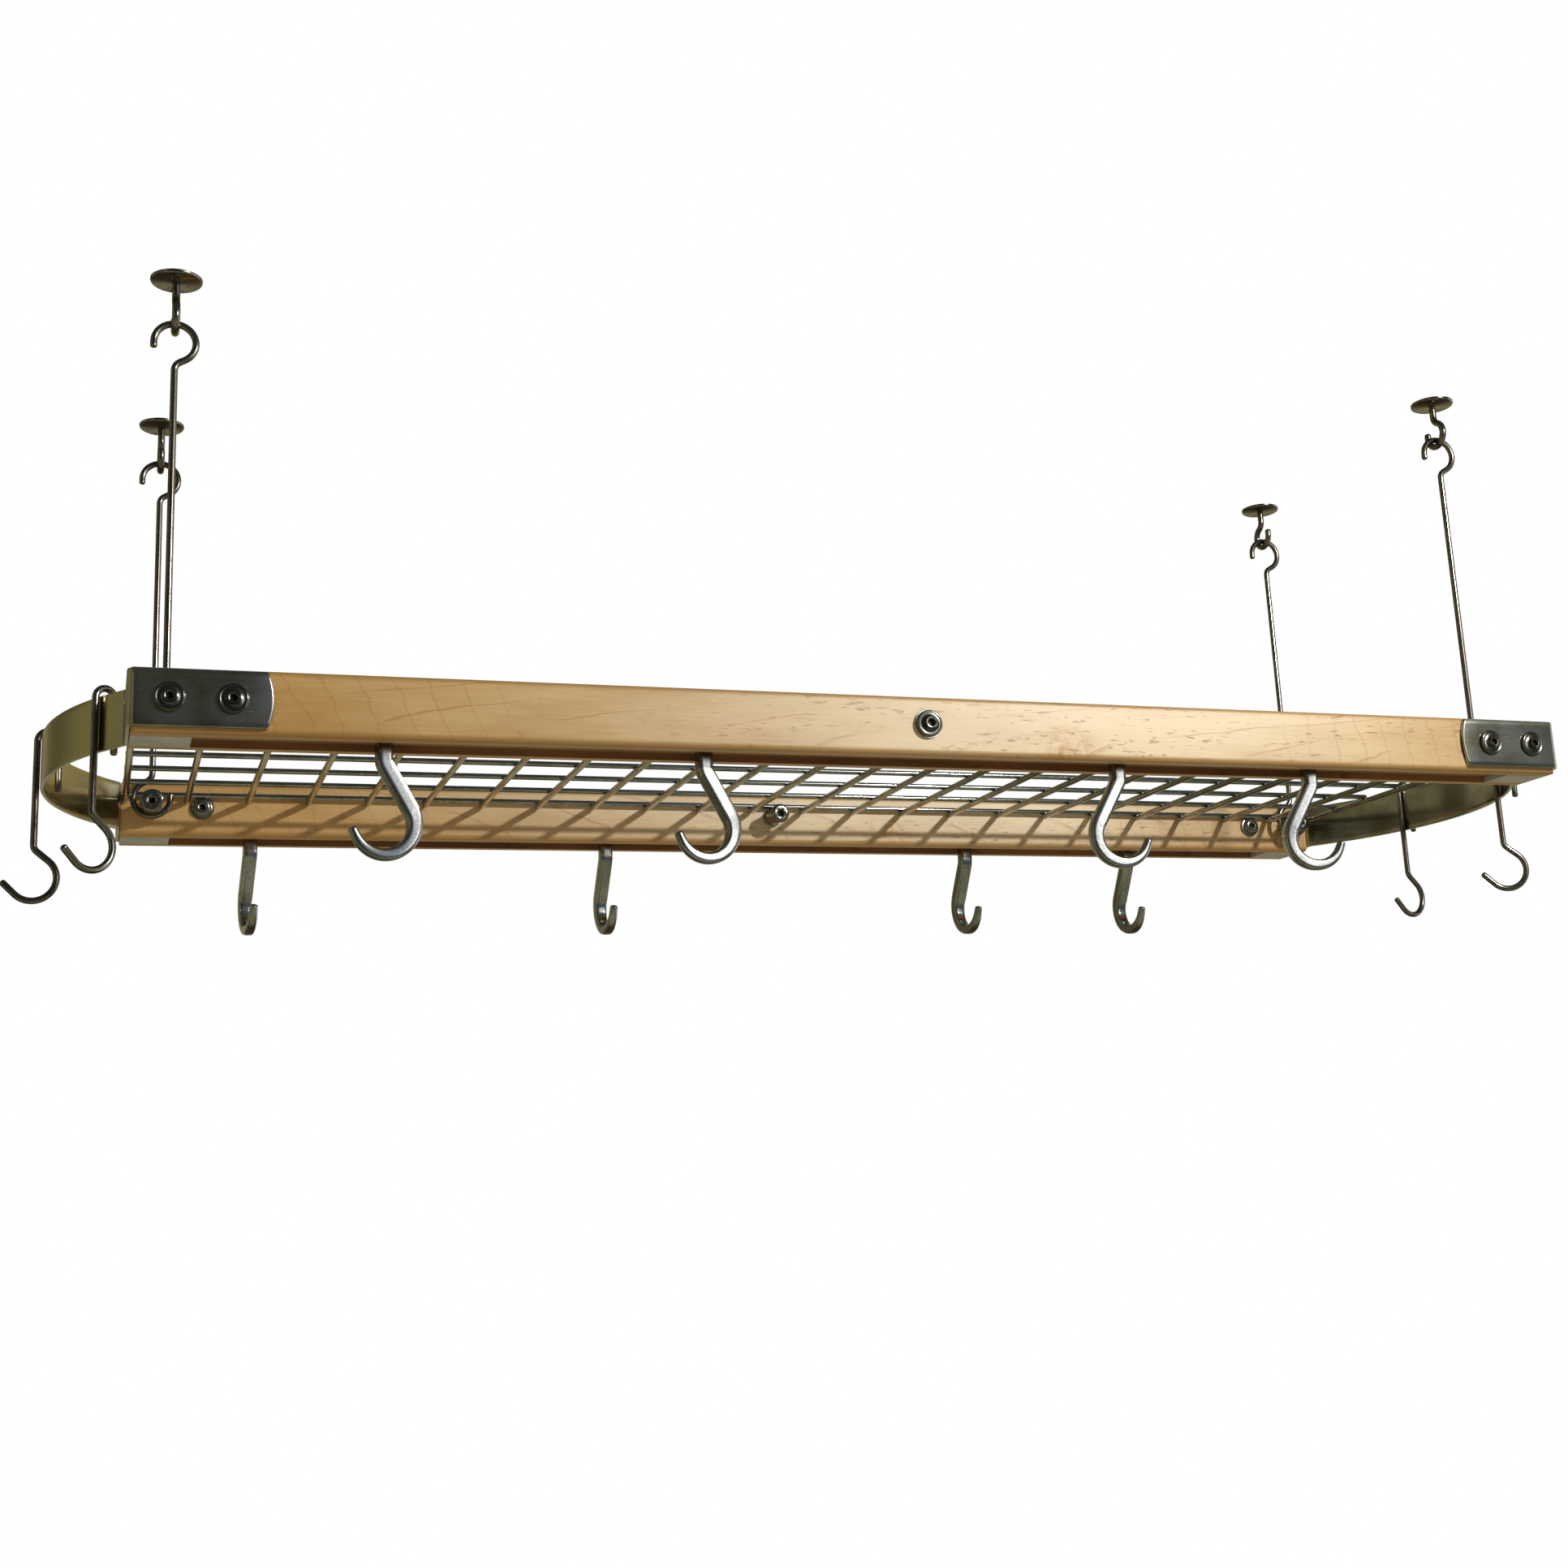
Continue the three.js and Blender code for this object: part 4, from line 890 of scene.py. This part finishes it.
bowl_steps, _ = kink_and_bowl(30, TRACK_KINK, TRACK_BOWL, 155)
track_steps = [("straight", NECK_TOP + NECK, 0, 6), *bowl_steps,
               ("straight", TRACK_LIP, 0, 3), ("straight", BLUNT_END, 0, 4)]
hook_route = bent((0, NECK_TOP), -90, track_steps)
# The bar tapers from the top of its bowl, after three steps, to where its end turns blunt
taper_start = hook_route[sum(parts for *_, parts in track_steps[:3])][3]
taper_end = hook_route[-1 - track_steps[-1][3]][3]


def hook_section(number, across, side):
    """Square with soft edges at the neck, round at the thin tip, which is blunt."""
    run = hook_route[number][3]
    taper = min(1.0, max(0.0, (run - taper_start) / (taper_end - taper_start)))
    # A power of 7 gives a square with soft corners and a power of 2 a circle
    power = 7.0 - 5.0 * taper
    size = (abs(across) ** power + abs(side) ** power) ** (-1 / power)
    radius = STOCK + (TIP - STOCK) * taper
    blunt = min(1.0, max(0.0, (run - taper_end) / BLUNT_END))
    radius *= BLUNT_FACE + (1 - BLUNT_FACE) * math.sqrt(1 - blunt ** 2)
    return across * size, side * size, radius


# The stem's profile (radius, height) in the slot, up to its riveted head
stem_profile = [(0.003, 0.0050), (0.003, 0.0130), (0.005, 0.0130), (0.005, 0.0145),
                (0.0044, 0.0150)]

for row, side, hooks in (("front", -1, FRONT_HOOKS), ("back", 1, BACK_HOOKS)):
    for number, (x, turn) in enumerate(hooks, start=1):
        # Both ends are cut flat, so the rings of the wires' rounded ends are left out
        rings = wire_rings(hook_route, STOCK, sides=32, section=hook_section)
        rings = rings[len(DOME):-len(DOME)]
        place = (x, side * RAIL_CENTRE, UNDERSIDE)
        stem = round_rings(*place, stem_profile, STEM_SIDES)
        points, faces = joined([skin(turn_and_place(rings, place, turn)), skin(stem)])
        make_piece(f"pot_hook_{row}_{number}", points, faces, f"track_hook_{row}_{number}",
                   f"track_hook_{row}_{number}", [tumbled_steel], sharp=50)

# Wire hooks on the bows. Drawn stainless wire, bent over the band's top edge, with one
# short leg behind it and a long leg that ends in an open bowl with a flared tip.
HOOK_WIRE = 0.0026
HOOK_GAP = 0.0108
BACK_LEG = 0.040
LONG_LEG = 0.081
WIRE_KINK = 0.007
WIRE_BOWL = 0.0173
WIRE_LIP = 0.014

# The top bend rests on one upper corner of the strip, so that its centre is sunk a little
# below the strip's edge
top_inner = HOOK_GAP / 2
top_radius = top_inner + HOOK_WIRE
sunk = math.sqrt((top_inner - FIT) ** 2 - (top_inner - 2 * FIT) ** 2) - FIT
leg_x = -STRIP / 2 - 2 * FIT - HOOK_WIRE
steps, _ = kink_and_bowl(50, WIRE_KINK, WIRE_BOWL, 135)
mirrored = [(kind, -size if kind == "bend" else size, radius, parts)
            for kind, size, radius, parts in steps]
band_hook_route = bent((leg_x + 2 * top_radius, -sunk - BACK_LEG), 90, [
    ("straight", BACK_LEG, 0, 4), ("bend", 180, top_radius, 24), ("straight", LONG_LEG, 0, 6),
    *mirrored, ("straight", WIRE_LIP, 0, 4)])

for end, side, places in (("left", -1, (-33, 1)), ("right", 1, (-24, 15))):
    for number, degrees in enumerate(places, start=1):
        angle = math.radians(degrees) if side > 0 else math.pi - math.radians(degrees)
        at = (side * BOW_CENTRE + BOW_RADIUS * math.cos(angle), BOW_RADIUS * math.sin(angle),
              BAND_HIGH)
        rings = wire_rings(trimmed(band_hook_route, HOOK_WIRE), HOOK_WIRE)
        points, faces = skin(turn_and_place(rings, at, side * degrees))
        make_piece(f"wire_hook_{end}_{number}", points, faces, f"band_hook_{end}_{number}",
                   f"band_hook_{end}_{number}", [drawn_rod])
